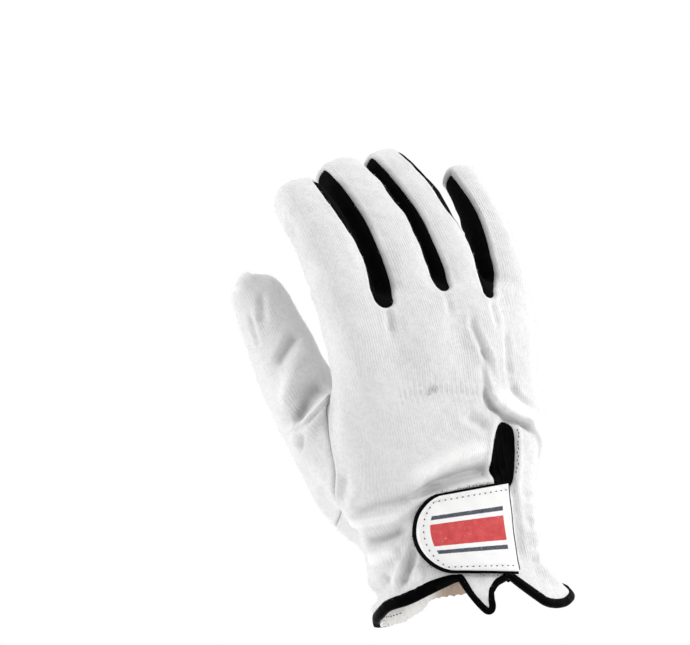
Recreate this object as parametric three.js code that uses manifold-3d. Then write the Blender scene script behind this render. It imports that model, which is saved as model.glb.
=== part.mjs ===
// Inner glove for the right hand, worn under a batting glove: white knitted cotton, black
// strips between the fingers, a long black insert at the wrist, a black bound cuff and a
// white closing tab. It keeps the shape of the hand that it is worn on.
// Millimetres. +Z runs to the fingertips, -Y is the back of the hand and -X the thumb side.
// The origin is the middle of the opening at the cuff.

import * as THREE from 'three';
import { mergeVertices } from 'three/addons/utils/BufferGeometryUtils.js';
import Module from 'manifold-3d';

const wasm = await Module();
wasm.setup();

// Driving dimensions
const WALL = 1.5; // knitted cotton
const SEAM_GAP = 0.3; // between neighbouring pieces
const REACH = 90; // how far cutting shapes run past the glove

// Trunk of the hand and cuff: how far the outside lies from the Z axis on each side.
const TRUNK_POWER = 2.2; // 2 is an ellipse, more is squarer
const TRUNK_SIDES = 36;
const TRUNK_STEP = 8; // height between its rings
const TRUNK = [
  { z: -16, thumbSide: 43, littleSide: 49, back: 25, palm: 27 },
  { z: -8, thumbSide: 43, littleSide: 45.5, back: 24, palm: 26 },
  { z: 4, thumbSide: 41.5, littleSide: 33, back: 23, palm: 25 },
  { z: 16, thumbSide: 41.5, littleSide: 31.5, back: 21, palm: 23 },
  { z: 30, thumbSide: 43.5, littleSide: 35, back: 19.5, palm: 21 },
  { z: 46, thumbSide: 46.5, littleSide: 41, back: 19, palm: 20 },
  { z: 60, thumbSide: 49, littleSide: 46, back: 19, palm: 20 },
  { z: 74, thumbSide: 48, littleSide: 47.5, back: 19, palm: 19 },
  { z: 90, thumbSide: 43.6, littleSide: 48.5, back: 19, palm: 18 },
  { z: 106, thumbSide: 41.5, littleSide: 50, back: 18.5, palm: 16 },
  { z: 117, thumbSide: 41.5, littleSide: 49.5, back: 16.5, palm: 13.5 },
  { z: 127, thumbSide: 38, littleSide: 46, back: 11, palm: 8 },
];

// Main folds of the trunk: a bump, or a dent where out is negative, that fades to nothing
// at its half spans. Angles turn from +X to +Y, so -90 is the middle of the back.
const FOLDS = [
  { name: 'roll beside the tab', angle: -34, z: 16, out: 4, spanAngle: 13, spanZ: 30 },
  { name: 'fold over the insert', angle: -14, z: 64, out: 1.6, spanAngle: 26, spanZ: 14 },
  { name: 'hollow of the insert', angle: -52, z: 53, out: -2, spanAngle: 16, spanZ: 14 },
  { name: 'gather on the back', angle: -90, z: 82, out: -1.2, spanAngle: 50, spanZ: 9 },
  { name: 'upper wrist crease', angle: -146, z: 34, out: -2, spanAngle: 36, spanZ: 8 },
  { name: 'lower wrist crease', angle: -140, z: 18, out: -1.6, spanAngle: 30, spanZ: 7 },
  { name: 'lobe of the cuff', angle: -93, z: -8, out: 4, spanAngle: 12, spanZ: 14 },
  { name: 'pleat of the palm cuff', angle: 70, z: 8, out: -1.8, spanAngle: 14, spanZ: 22 },
  { name: 'second pleat of the palm cuff', angle: 112, z: 8, out: -1.8, spanAngle: 14, spanZ: 22 },
];

// Digits: base is the point where the middle line starts, along is measured on it, spread
// turns it to the little-finger side and curl to the palm, both in degrees.
const DIGIT_POWER = 2.3;
const DIGIT_SIDES = 12;
const DIGIT_RINGS = 7;
const CAP_RINGS = 3;
const CAP_POWER = 2.4;
const CAP_FLAT = 0.35; // of the tip's width is left flat
const DIGITS = {
  index: {
    base: [-30.5, -4.5, 88],
    stations: [
      { along: 0, spread: -3, curl: 2, width: 17, depth: 17 },
      { along: 18, spread: -3, curl: 4, width: 24.5, depth: 25 },
      { along: 34, spread: -2, curl: 12, width: 25, depth: 24 },
      { along: 60, spread: 0, curl: 24, width: 25, depth: 22 },
      { along: 82, spread: -1, curl: 38, width: 24.5, depth: 21 },
      { along: 103, spread: -2, curl: 48, width: 22.5, depth: 19 },
    ],
  },
  middle: {
    base: [-5, -6, 96],
    stations: [
      { along: 0, spread: 1, curl: 4, width: 24, depth: 26 },
      { along: 12, spread: 1, curl: 9, width: 24.5, depth: 26.5 },
      { along: 28, spread: 1, curl: 16, width: 25, depth: 24.5 },
      { along: 56, spread: -1, curl: 27, width: 26.2, depth: 22.5 },
      { along: 82, spread: -6, curl: 42, width: 24.5, depth: 21 },
      { along: 109, spread: -10, curl: 56, width: 22, depth: 18 },
    ],
  },
  ring: {
    base: [19, -6, 96],
    stations: [
      { along: 0, spread: 1, curl: 4, width: 22.5, depth: 25 },
      { along: 12, spread: 1, curl: 9, width: 22.5, depth: 26 },
      { along: 28, spread: 0, curl: 15, width: 22, depth: 24 },
      { along: 56, spread: -2.5, curl: 27, width: 21.5, depth: 22 },
      { along: 82, spread: -4.5, curl: 42, width: 20.5, depth: 20.5 },
      { along: 112, spread: -5.5, curl: 54, width: 20.5, depth: 17 },
    ],
  },
  little: {
    base: [35.5, -3, 84],
    stations: [
      { along: 0, spread: 10, curl: 2, width: 15, depth: 17 },
      { along: 18, spread: 9, curl: 5, width: 20, depth: 22.5 },
      { along: 34, spread: 9, curl: 12, width: 21.5, depth: 21.5 },
      { along: 58, spread: 5, curl: 22, width: 20, depth: 19 },
      { along: 84, spread: 2, curl: 32, width: 16.5, depth: 16 },
      { along: 106, spread: 0, curl: 40, width: 15.5, depth: 13 },
    ],
  },
  thumb: {
    base: [-23.5, 4, 22],
    stations: [
      { along: 0, spread: -24, curl: 12, width: 22, depth: 24 },
      { along: 28, spread: -22, curl: 16, width: 34.8, depth: 35 },
      { along: 60, spread: -13.5, curl: 20, width: 31, depth: 31 },
      { along: 96, spread: -5, curl: 22, width: 28, depth: 25 },
      { along: 137, spread: -6.5, curl: 22, width: 22.5, depth: 18 },
    ],
  },
};

// Black strips between the fingers: where each one's edges lie at some heights. Its foot is
// round and reaches a little below the first row.
const STRIP_END = 7; // from the strip's upper end to the fingertip
const STRIPS = [
  {
    name: 'fourchette_index_middle',
    fingers: ['index', 'middle'],
    edges: [
      { z: 124.5, left: -24.4, right: -16.6 },
      { z: 129, left: -24.2, right: -14.9 },
      { z: 150, left: -22.8, right: -14.3 },
      { z: 158, left: -25.3, right: -14.4 },
      { z: 167, left: -27.4, right: -14.8 },
      { z: 198, left: -28, right: -16 },
    ],
  },
  {
    name: 'fourchette_middle_ring',
    fingers: ['middle', 'ring'],
    edges: [
      { z: 127.5, left: 5, right: 10.6 },
      { z: 134, left: 5, right: 11.4 },
      { z: 150, left: 5, right: 11.3 },
      { z: 160, left: 4.5, right: 10.9 },
      { z: 172, left: 2.5, right: 9.7 },
      { z: 198, left: 0.5, right: 8.8 },
    ],
  },
  {
    name: 'fourchette_ring_little',
    fingers: ['ring', 'little'],
    edges: [
      { z: 121.5, left: 24.6, right: 30.4 },
      { z: 128, left: 26, right: 35.2 },
      { z: 138, left: 27.6, right: 37.2 },
      { z: 150, left: 27, right: 39 },
      { z: 163, left: 23.5, right: 39.8 },
      { z: 198, left: 21, right: 38.2 },
    ],
  },
];

// Seam that sets the thumb in: a plane seen from the fingertips, and how far past the
// thumb's own surface its piece reaches into the hand.
const THUMB_SEAM = { x: -52, y: -1, slope: 34 };
const THUMB_ROOT = 2.5;

// Long oval insert on the back of the wrist
const INSERT = { bottomX: 15.4, bottomZ: 36, topX: 23.4, topZ: 66.5, halfWidth: 6.2 };

// Height of the middle of the cuff's binding round the opening, with its lobe on the back
const HEM = [
  { angle: -180, z: -4.5 },
  { angle: -167, z: -0.4 },
  { angle: -144, z: 2.6 },
  { angle: -123, z: 5 },
  { angle: -109, z: 5.4 },
  { angle: -102, z: 1 },
  { angle: -96, z: -7.5 },
  { angle: -89, z: -4 },
  { angle: -82, z: 0.5 },
  { angle: -72, z: 2.6 },
  { angle: -64, z: -3.2 },
  { angle: -56, z: -9 },
  { angle: -46, z: -12 },
  { angle: -36, z: -12.4 },
  { angle: -26, z: -9 },
  { angle: -10, z: -3.2 },
  { angle: 22, z: 1 },
  { angle: 42, z: 3 },
  { angle: 62, z: 1.4 },
  { angle: 92, z: 1.2 },
  { angle: 110, z: -3.8 },
  { angle: 124, z: -7 },
  { angle: 142, z: -8 },
  { angle: 168, z: -8 },
  { angle: 180, z: -4.5 },
];
const HEM_STEPS = 80;
const EDGE_GAP = 0.5; // from the cloth's edge to the binding
const BINDING = { thick: 2.8, tall: 4.2 };
const BAND_SIDES = 6;
const BAND_POWER = 4;
const TAPE = { from: 66, to: 190, thick: 1, tall: 10, steps: 30 };

// Closing tab on the back of the wrist, with its pad below
const TAB = {
  leftBottom: 9,
  leftTop: 40,
  rightBottom: 4,
  rightTop: 40.5,
  leftEnd: -28,
  bottomRightX: 13,
  topRightX: 17,
  roundDepth: 15,
};
const TAB_THICK = 1.2;
const PAD_THICK = 1.2;
const PAD_MARGIN = 1;
const TAB_ROWS = 8;
const TAB_COLUMNS = 6;

const COTTON = { color: 0xeceae6, roughness: 0.95, metalness: 0 };
const BLACK_KNIT = { color: 0x0b0b0c, roughness: 0.95, metalness: 0 };
const BLACK_BINDING = { color: 0x101012, roughness: 0.5, metalness: 0 };
const TAB_WHITE = { color: 0xf2f1ef, roughness: 0.55, metalness: 0 };

const radians = THREE.MathUtils.degToRad;

// Smooth value of one column of a table, whose rows are ordered by another column
function lookUp(rows, order, column, at) {
  const last = rows.length - 1;
  const slope = (i) => {
    const a = rows[Math.max(i - 1, 0)];
    const b = rows[Math.min(i + 1, last)];
    return (b[column] - a[column]) / (b[order] - a[order]);
  };
  const x = THREE.MathUtils.clamp(at, rows[0][order], rows[last][order]);
  let i = 0;
  while (i < last - 1 && rows[i + 1][order] <= x) {
    i += 1;
  }
  const span = rows[i + 1][order] - rows[i][order];
  const t = (x - rows[i][order]) / span;
  const startValue = (1 + 2 * t) * (1 - t) ** 2 * rows[i][column];
  const startSlope = t * (1 - t) ** 2 * span * slope(i);
  const endValue = t * t * (3 - 2 * t) * rows[i + 1][column];
  const endSlope = t * t * (t - 1) * span * slope(i + 1);
  return startValue + startSlope + endValue + endSlope;
}

// Point of a rounded square of half size 1 at an angle
function roundedPoint(angle, power) {
  const c = Math.cos(angle);
  const s = Math.sin(angle);
  return [Math.sign(c) * Math.abs(c) ** (2 / power), Math.sign(s) * Math.abs(s) ** (2 / power)];
}

// Closed mesh through rings of points. A loop joins its last ring to its first.
function loft(rings, loop = false) {
  const sides = rings[0].length;
  const positions = rings.flat().flatMap((p) => [p.x, p.y, p.z]);
  const index = [];
  const bands = loop ? rings.length : rings.length - 1;
  for (let i = 0; i < bands; i += 1) {
    const low = i * sides;
    const high = ((i + 1) % rings.length) * sides;
    for (let j = 0; j < sides; j += 1) {
      const k = (j + 1) % sides;
      index.push(low + j, low + k, high + k, low + j, high + k, high + j);
    }
  }
  if (!loop) {
    const top = (rings.length - 1) * sides;
    for (let j = 1; j < sides - 1; j += 1) {
      index.push(0, j + 1, j, top, top + j, top + j + 1);
    }
  }
  const geometry = new THREE.BufferGeometry();
  geometry.setAttribute('position', new THREE.Float32BufferAttribute(positions, 3));
  geometry.setIndex(index);
  return geometry;
}

function solid(geometry) {
  const bare = geometry.clone();
  bare.deleteAttribute('normal');
  bare.deleteAttribute('uv');
  const merged = mergeVertices(bare, 1e-4);
  return new wasm.Manifold(new wasm.Mesh({
    numProp: 3,
    vertProperties: new Float32Array(merged.attributes.position.array),
    triVerts: new Uint32Array(merged.index.array),
  }));
}

function geometryOf(manifold) {
  const mesh = manifold.getMesh();
  const geometry = new THREE.BufferGeometry();
  geometry.setAttribute('position', new THREE.BufferAttribute(mesh.vertProperties, 3));
  geometry.setIndex(new THREE.BufferAttribute(mesh.triVerts, 1));
  geometry.computeVertexNormals();
  return geometry;
}

function fade(t) {
  return Math.abs(t) < 1 ? Math.cos((t * Math.PI) / 2) ** 2 : 0;
}

function foldOut(angle, z) {
  let out = 0;
  for (const fold of FOLDS) {
    const turn = THREE.MathUtils.euclideanModulo(angle - fold.angle + 180, 360) - 180;
    out += fold.out * fade(turn / fold.spanAngle) * fade((z - fold.z) / fold.spanZ);
  }
  return out;
}

// Point on the trunk's outside, or inset below it. The angle is in degrees.
function trunkPoint(angle, z, inset = 0) {
  const thumbSide = lookUp(TRUNK, 'z', 'thumbSide', z);
  const littleSide = lookUp(TRUNK, 'z', 'littleSide', z);
  const half = (thumbSide + littleSide) / 2 - inset;
  const [x, y] = roundedPoint(radians(angle), TRUNK_POWER);
  const depth = lookUp(TRUNK, 'z', y > 0 ? 'palm' : 'back', z) - inset;
  const grow = foldOut(angle, z);
  const across = (littleSide - thumbSide) / 2 + (half + grow) * x;
  return new THREE.Vector3(across, (depth + grow) * y, z);
}

function trunkSolid(inset) {
  const bottom = TRUNK[0].z;
  const top = TRUNK[TRUNK.length - 1].z - inset;
  const steps = Math.round((top - bottom) / TRUNK_STEP);
  const rings = [];
  for (let i = 0; i <= steps; i += 1) {
    const z = bottom + ((top - bottom) * i) / steps;
    const ring = [];
    for (let j = 0; j < TRUNK_SIDES; j += 1) {
      ring.push(trunkPoint((360 * j) / TRUNK_SIDES, z, inset));
    }
    rings.push(ring);
  }
  return solid(loft(rings));
}

// Directions of a digit's middle line at a place along it
function digitAxes(digit, along) {
  const spread = radians(lookUp(digit.stations, 'along', 'spread', along));
  const curl = radians(lookUp(digit.stations, 'along', 'curl', along));
  const ahead = new THREE.Vector3(
    Math.sin(spread) * Math.cos(curl),
    Math.sin(curl),
    Math.cos(spread) * Math.cos(curl),
  );
  const side = new THREE.Vector3(Math.cos(spread), 0, -Math.sin(spread));
  const palm = new THREE.Vector3().crossVectors(ahead, side);
  return { ahead, side, palm };
}

function digitLength(digit) {
  return digit.stations[digit.stations.length - 1].along;
}

function digitPoint(digit, along) {
  const point = new THREE.Vector3(...digit.base);
  const steps = 32;
  for (let i = 0; i < steps; i += 1) {
    const { ahead } = digitAxes(digit, (along * (i + 0.5)) / steps);
    point.addScaledVector(ahead, along / steps);
  }
  return point;
}

function digitRing(digit, along, inset, scale) {
  const { side, palm } = digitAxes(digit, along);
  const centre = digitPoint(digit, along);
  const halfWidth = (lookUp(digit.stations, 'along', 'width', along) / 2 - inset) * scale;
  const halfDepth = (lookUp(digit.stations, 'along', 'depth', along) / 2 - inset) * scale;
  const ring = [];
  for (let j = 0; j < DIGIT_SIDES; j += 1) {
    const [x, y] = roundedPoint((2 * Math.PI * (j + 0.5)) / DIGIT_SIDES, DIGIT_POWER);
    const point = centre.clone();
    point.addScaledVector(side, halfWidth * x).addScaledVector(palm, halfDepth * y);
    ring.push(point);
  }
  return ring;
}

// A digit with a blunt round tip. Inset makes the hollow inside it, and a negative one
// a shape a little larger than it.
function digitSolid(digit, inset) {
  const length = digitLength(digit) - inset;
  const cap = digit.stations[digit.stations.length - 1].width / 2 - inset;
  const rings = [];
  for (let i = 0; i < DIGIT_RINGS; i += 1) {
    rings.push(digitRing(digit, ((length - cap) * i) / DIGIT_RINGS, inset, 1));
  }
  const flatAngle = Math.asin((1 - CAP_FLAT ** CAP_POWER) ** (1 / CAP_POWER));
  for (let i = 0; i <= CAP_RINGS; i += 1) {
    const rise = Math.sin((flatAngle * i) / CAP_RINGS);
    const scale = (1 - rise ** CAP_POWER) ** (1 / CAP_POWER);
    rings.push(digitRing(digit, length - cap * (1 - rise), inset, scale));
  }
  return solid(loft(rings));
}

function handSolid(inset) {
  return Object.values(DIGITS).reduce(
    (sum, digit) => sum.add(digitSolid(digit, inset)),
    trunkSolid(inset),
  );
}

function hemHeight(angle) {
  const turn = THREE.MathUtils.euclideanModulo(angle + 180, 360) - 180;
  return lookUp(HEM, 'angle', 'z', turn);
}

// Height of the cloth's edge at an angle: the lowest place above the binding's middle line
// that is clear of the binding.
function clothEdge(angle) {
  const clear = BINDING.tall / 2 + EDGE_GAP;
  const line = [];
  for (let turn = -14; turn <= 14; turn += 1) {
    line.push(trunkPoint(angle + turn, hemHeight(angle + turn)));
  }
  const touches = (z) => {
    const here = trunkPoint(angle, z);
    const sideways = trunkPoint(angle + 1, z).sub(trunkPoint(angle - 1, z)).normalize();
    return line.some((point) => {
      const away = point.clone().sub(here);
      return Math.hypot(away.dot(sideways), away.z) < clear;
    });
  };
  const step = 0.1;
  let z = hemHeight(angle) + clear;
  while (touches(z)) {
    z += step;
  }
  return z;
}

// Everything below the cloth's edge: rings from the axis out, close together at the wall
function belowCloth() {
  const hub = 6;
  const beside = 2.5;
  const rings = [[], [], [], [], [], []];
  for (let i = 0; i < HEM_STEPS; i += 1) {
    const angle = (360 * i) / HEM_STEPS;
    const z = clothEdge(angle);
    const wall = trunkPoint(angle, z, WALL / 2);
    const radius = Math.hypot(wall.x, wall.y);
    const places = [
      [hub, -REACH],
      [REACH, -REACH],
      [REACH, z],
      [radius + beside, z],
      [radius - beside, z],
      [hub, z],
    ];
    places.forEach(([out, height], k) => {
      rings[k].push(new THREE.Vector3((wall.x * out) / radius, (wall.y * out) / radius, height));
    });
  }
  return solid(loft(rings));
}

// A band that follows the hem, from one angle to another or all the way round. Its middle
// lies lift above the binding's middle line, and inset below the glove's outside.
function hemBand({ from, to, steps, thick, tall, lift, inset }) {
  const loop = to - from === 360;
  const count = loop ? steps : steps + 1;
  const place = (angle) => trunkPoint(angle, hemHeight(angle) + lift, inset);
  const rings = [];
  for (let i = 0; i < count; i += 1) {
    const angle = from + ((to - from) * i) / steps;
    const centre = place(angle);
    const tangent = place(angle + 1).sub(place(angle - 1)).normalize();
    const climb = trunkPoint(angle, centre.z + 1, inset).sub(centre);
    const outward = new THREE.Vector3().crossVectors(tangent, climb).normalize();
    const up = new THREE.Vector3().crossVectors(outward, tangent);
    const ring = [];
    for (let j = 0; j < BAND_SIDES; j += 1) {
      const [x, y] = roundedPoint((2 * Math.PI * (j + 0.5)) / BAND_SIDES, BAND_POWER);
      const point = centre.clone();
      point.addScaledVector(up, (x * tall) / 2).addScaledVector(outward, (y * thick) / 2);
      ring.push(point);
    }
    rings.push(ring);
  }
  return loft(rings, loop);
}

function bindingGeometry() {
  return hemBand({ ...BINDING, from: 0, to: 360, steps: HEM_STEPS, lift: 0, inset: WALL / 2 });
}

function tapeGeometry() {
  return hemBand({
    ...TAPE,
    lift: (TAPE.tall - BINDING.tall) / 2,
    inset: (WALL + BINDING.thick + TAPE.thick) / 2 + SEAM_GAP,
  });
}

// Block beyond a place near the fingertip, as wide as the finger
function tipBlock(digit, grow) {
  const along = digitLength(digit) - STRIP_END + grow;
  const { ahead, side, palm } = digitAxes(digit, along);
  const width = lookUp(digit.stations, 'along', 'width', along);
  const block = new THREE.BoxGeometry(width, REACH, REACH);
  const turn = new THREE.Matrix4().makeBasis(side, palm, ahead);
  turn.setPosition(digitPoint(digit, along).addScaledVector(ahead, REACH / 2));
  return solid(block.applyMatrix4(turn));
}

// Upright slab between two fingers with a round foot. Grow adds the seam's gap all round.
function stripSlab({ fingers, edges }, grow) {
  const foot = edges[0];
  const outline = new THREE.Shape();
  const footHalf = (foot.right - foot.left) / 2 + grow;
  outline.absarc((foot.left + foot.right) / 2, foot.z, footHalf, Math.PI, 2 * Math.PI, false);
  for (const { z, right } of edges.slice(1)) {
    outline.lineTo(right + grow, z);
  }
  for (const { z, left } of edges.slice(1).reverse()) {
    outline.lineTo(left - grow, z);
  }
  const slab = new THREE.ExtrudeGeometry(outline, {
    depth: 2 * REACH,
    bevelEnabled: false,
    curveSegments: 8,
  });
  slab.rotateX(Math.PI / 2).translate(0, REACH, 0);
  return fingers.reduce(
    (rest, finger) => rest.subtract(tipBlock(DIGITS[finger], grow)),
    solid(slab),
  );
}

// Everything that belongs to the set-in thumb
function thumbZone(grow) {
  const slope = radians(THUMB_SEAM.slope);
  const outward = new THREE.Vector3(-Math.sin(slope), Math.cos(slope), 0);
  const half = new THREE.BoxGeometry(2 * REACH, REACH, 3 * REACH);
  half.rotateZ(slope);
  const face = new THREE.Vector3(THUMB_SEAM.x, THUMB_SEAM.y, REACH);
  face.addScaledVector(outward, REACH / 2 - grow);
  half.translate(face.x, face.y, face.z);
  return digitSolid(DIGITS.thumb, -THUMB_ROOT - grow).intersect(solid(half));
}

function insertSlab(grow) {
  const { bottomX, bottomZ, topX, topZ, halfWidth } = INSERT;
  const lean = Math.atan2(topX - bottomX, topZ - bottomZ);
  const half = Math.hypot(topX - bottomX, topZ - bottomZ) / 2 + grow;
  const oval = new THREE.Shape();
  oval.absellipse(0, 0, halfWidth + grow, half, 0, 2 * Math.PI);
  const slab = new THREE.ExtrudeGeometry(oval, {
    depth: REACH,
    bevelEnabled: false,
    curveSegments: 12,
  });
  slab.rotateZ(-lean).rotateX(Math.PI / 2);
  slab.translate((bottomX + topX) / 2, 0, (bottomZ + topZ) / 2);
  return solid(slab);
}

// Plate that lies on the back of the wrist, between two heights above the cloth
function wristPlate({ margin, from, to }) {
  const onBack = (x, z, height) => {
    const thumbSide = lookUp(TRUNK, 'z', 'thumbSide', z);
    const littleSide = lookUp(TRUNK, 'z', 'littleSide', z);
    const half = (thumbSide + littleSide) / 2 + height;
    const part = Math.abs(x - (littleSide - thumbSide) / 2) / half;
    const depth = lookUp(TRUNK, 'z', 'back', z) + height;
    return new THREE.Vector3(x, -depth * (1 - part ** TRUNK_POWER) ** (1 / TRUNK_POWER), z);
  };
  const rings = [];
  for (let i = 0; i <= TAB_COLUMNS; i += 1) {
    const lower = [];
    const upper = [];
    const across = i / TAB_COLUMNS;
    const bottom = THREE.MathUtils.lerp(TAB.leftBottom, TAB.rightBottom, across) - margin;
    const top = THREE.MathUtils.lerp(TAB.leftTop, TAB.rightTop, across) + margin;
    for (let j = 0; j <= TAB_ROWS; j += 1) {
      const climb = j / TAB_ROWS;
      const z = THREE.MathUtils.lerp(bottom, top, climb);
      const round = TAB.roundDepth * (1 - Math.sqrt(1 - (0.96 * (2 * climb - 1)) ** 2));
      const leftX = TAB.leftEnd - margin + round;
      const rightX = THREE.MathUtils.lerp(TAB.bottomRightX, TAB.topRightX, climb);
      const x = THREE.MathUtils.lerp(leftX, rightX, across);
      lower.push(onBack(x, z, from));
      upper.push(onBack(x, z, to));
    }
    rings.push([...lower, ...upper.reverse()]);
  }
  return loftOfStrips(rings);
}

// Closed mesh through rings that are long and thin: each end is closed across its rows
function loftOfStrips(rings) {
  const geometry = loft(rings);
  const sides = rings[0].length;
  const rows = sides / 2;
  const index = Array.from(geometry.index.array).slice(0, (rings.length - 1) * sides * 6);
  const top = (rings.length - 1) * sides;
  for (let j = 0; j < rows - 1; j += 1) {
    const a = j;
    const b = j + 1;
    const c = sides - 2 - j;
    const d = sides - 1 - j;
    index.push(a, c, b, a, d, c, top + a, top + b, top + c, top + a, top + c, top + d);
  }
  geometry.setIndex(index);
  return geometry;
}

function named(name, geometry, finish) {
  const mesh = new THREE.Mesh(geometry, new THREE.MeshStandardMaterial(finish));
  mesh.name = name;
  return mesh;
}

const glove = new THREE.Group();

const shell = handSolid(0)
  .subtract(handSolid(WALL))
  .subtract(belowCloth());

const insertCut = insertSlab(SEAM_GAP);
const thumbCut = thumbZone(SEAM_GAP);
let hand = shell.subtract(insertCut).subtract(thumbCut);
for (const strip of STRIPS) {
  hand = hand.subtract(stripSlab(strip, SEAM_GAP));
  glove.add(named(strip.name, geometryOf(shell.intersect(stripSlab(strip, 0))), BLACK_KNIT));
}
glove.add(named('hand_shell', geometryOf(hand), COTTON));
glove.add(named('thumb_shell', geometryOf(shell.intersect(thumbZone(0))), COTTON));
glove.add(named('wrist_gusset', geometryOf(shell.intersect(insertSlab(0))), BLACK_KNIT));
glove.add(named('cuff_binding', bindingGeometry(), BLACK_BINDING));
glove.add(named('hem_tape', tapeGeometry(), TAB_WHITE));

const padBase = (BINDING.thick - WALL) / 2 + SEAM_GAP;
const tabBase = padBase + PAD_THICK + SEAM_GAP;
const pad = wristPlate({ margin: PAD_MARGIN, from: padBase, to: padBase + PAD_THICK });
const tab = wristPlate({ margin: 0, from: tabBase, to: tabBase + TAB_THICK });
glove.add(named('strap_backing', pad, BLACK_KNIT));
glove.add(named('strap_patch', tab, TAB_WHITE));

export default glove;
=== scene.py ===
import math
from functools import partial
from itertools import pairwise

import bpy
import numpy as np
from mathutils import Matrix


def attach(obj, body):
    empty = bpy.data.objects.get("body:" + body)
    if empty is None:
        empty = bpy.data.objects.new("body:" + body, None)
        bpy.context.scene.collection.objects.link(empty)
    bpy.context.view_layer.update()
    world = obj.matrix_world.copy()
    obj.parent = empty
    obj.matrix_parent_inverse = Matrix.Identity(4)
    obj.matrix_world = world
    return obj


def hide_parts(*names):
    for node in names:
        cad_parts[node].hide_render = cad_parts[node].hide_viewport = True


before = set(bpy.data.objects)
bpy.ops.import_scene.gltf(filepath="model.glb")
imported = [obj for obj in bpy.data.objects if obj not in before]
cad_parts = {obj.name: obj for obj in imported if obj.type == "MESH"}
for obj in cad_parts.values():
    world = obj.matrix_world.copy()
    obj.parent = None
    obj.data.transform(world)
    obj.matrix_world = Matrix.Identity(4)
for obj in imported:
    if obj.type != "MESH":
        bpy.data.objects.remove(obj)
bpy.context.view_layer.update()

import openvdb
from mathutils import Matrix, Vector

# Looks of the inner glove. Shapes are worked out in millimetres in the frame of the solids:
# +Z runs to the fingertips, -Y is the back of the hand and -X the thumb side.
MM = 0.001
CELL = 0.8
FIBRE_COUNT = 30000
LINING_CELL = 2.0
LINING_INSET = 1.6
WALL = 1.2
RNG = np.random.default_rng(11)


def columns(names, *rows):
    """A table's columns by name. Its rows are in the order of the first column."""
    return dict(zip(names.split(), np.array(rows, float).T))


def digit(base, *stations):
    return base, columns("along spread curl width depth", *stations)


def strip(left, right, *edges):
    return left, right, columns("z left right", *edges)


# Shape of the hand: the same tables as the solids' source
TRUNK_POWER = 2.2
TRUNK = columns(
    "z thumb_side little_side back palm",
    (-16, 43, 49, 25, 27),
    (-8, 43, 45.5, 24, 26),
    (4, 41.5, 33, 23, 25),
    (16, 41.5, 31.5, 21, 23),
    (30, 43.5, 35, 19.5, 21),
    (46, 46.5, 41, 19, 20),
    (60, 49, 46, 19, 20),
    (74, 48, 47.5, 19, 19),
    (90, 43.6, 48.5, 19, 18),
    (106, 41.5, 50, 18.5, 16),
    (117, 41.5, 49.5, 16.5, 13.5),
)
TRUNK_TOP = 116
TRUNK_CAP = 12
BROAD_FOLDS = (  # angle, z, rise, and the spans of angle and z
    (-34, 16, 4, 13, 30),
    (-14, 64, 1.6, 26, 14),
    (-52, 53, -2, 16, 14),
    (-90, 82, -1.2, 50, 9),
    (-146, 34, -2, 36, 8),
    (-140, 18, -1.6, 30, 7),
    (-93, -8, 4, 12, 14),
    (70, 8, -1.8, 14, 22),
    (112, 8, -1.8, 14, 22),
)
DIGIT_POWER = 2.3
CAP_POWER = 2.4
DIGITS = {
    "index": digit(
        (-30.5, -4.5, 88),
        (0, -3, 2, 17, 17),
        (18, -3, 4, 24.5, 25),
        (34, -2, 12, 25, 24),
        (60, 0, 24, 25, 22),
        (82, -1, 38, 24.5, 21),
        (103, -2, 48, 22.5, 19),
    ),
    "middle": digit(
        (-5, -6, 96),
        (0, 1, 4, 24, 26),
        (12, 1, 9, 24.5, 26.5),
        (28, 1, 16, 25, 24.5),
        (56, -1, 27, 26.2, 22.5),
        (82, -6, 42, 24.5, 21),
        (109, -10, 56, 22, 18),
    ),
    "ring": digit(
        (19, -6, 96),
        (0, 1, 4, 22.5, 25),
        (12, 1, 9, 22.5, 26),
        (28, 0, 15, 22, 24),
        (56, -2.5, 27, 21.5, 22),
        (82, -4.5, 42, 20.5, 20.5),
        (112, -5.5, 54, 20.5, 17),
    ),
    "little": digit(
        (35.5, -3, 84),
        (0, 10, 2, 15, 17),
        (18, 9, 5, 20, 22.5),
        (34, 9, 12, 21.5, 21.5),
        (58, 5, 22, 20, 19),
        (84, 2, 32, 16.5, 16),
        (106, 0, 40, 15.5, 13),
    ),
    "thumb": digit(
        (-23.5, 4, 22),
        (0, -24, 12, 22, 24),
        (28, -22, 16, 34.8, 35),
        (60, -13.5, 20, 31, 31),
        (96, -5, 22, 28, 25),
        (137, -6.5, 22, 22.5, 18),
    ),
}
STRIP_END = 7
STRIPS = {
    "fourchette_index_middle": strip(
        "index", "middle",
        (124.5, -24.4, -16.6), (129, -24.2, -14.9), (140, -22.8, -14.3), (150, -22.8, -14.3),
        (158, -25.3, -14.4), (167, -27.4, -14.8), (190, -28, -16),
    ),
    "fourchette_middle_ring": strip(
        "middle", "ring",
        (127.5, 5, 10.6), (134, 5, 11.4), (150, 5, 11.3), (160, 4.5, 10.9), (172, 2.5, 9.7),
        (190, 0.5, 8.8),
    ),
    "fourchette_ring_little": strip(
        "ring", "little",
        (121.5, 24.6, 30.4), (128, 26, 35.2), (138, 27.6, 37.2), (150, 27, 39),
        (163, 23.5, 39.8), (190, 21, 38.2),
    ),
}
THUMB_SEAM = (-52, -1, 34)  # x, y and slope
SEAM_SHIFT = columns(
    "z shift",
    (32, 17), (38, 9.5), (42.6, 4.8), (50, 2.1), (58, 0.3), (68.7, 1.3), (79, 2.6), (88, 1.2),
    (96, 0),
)
THUMB_ROOT = 2.5
INSERT_BOTTOM = np.array([15.4, 36])  # x and z
INSERT_TOP = np.array([23.4, 66.5])
INSERT_HALF_WIDTH = 6.2
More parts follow.
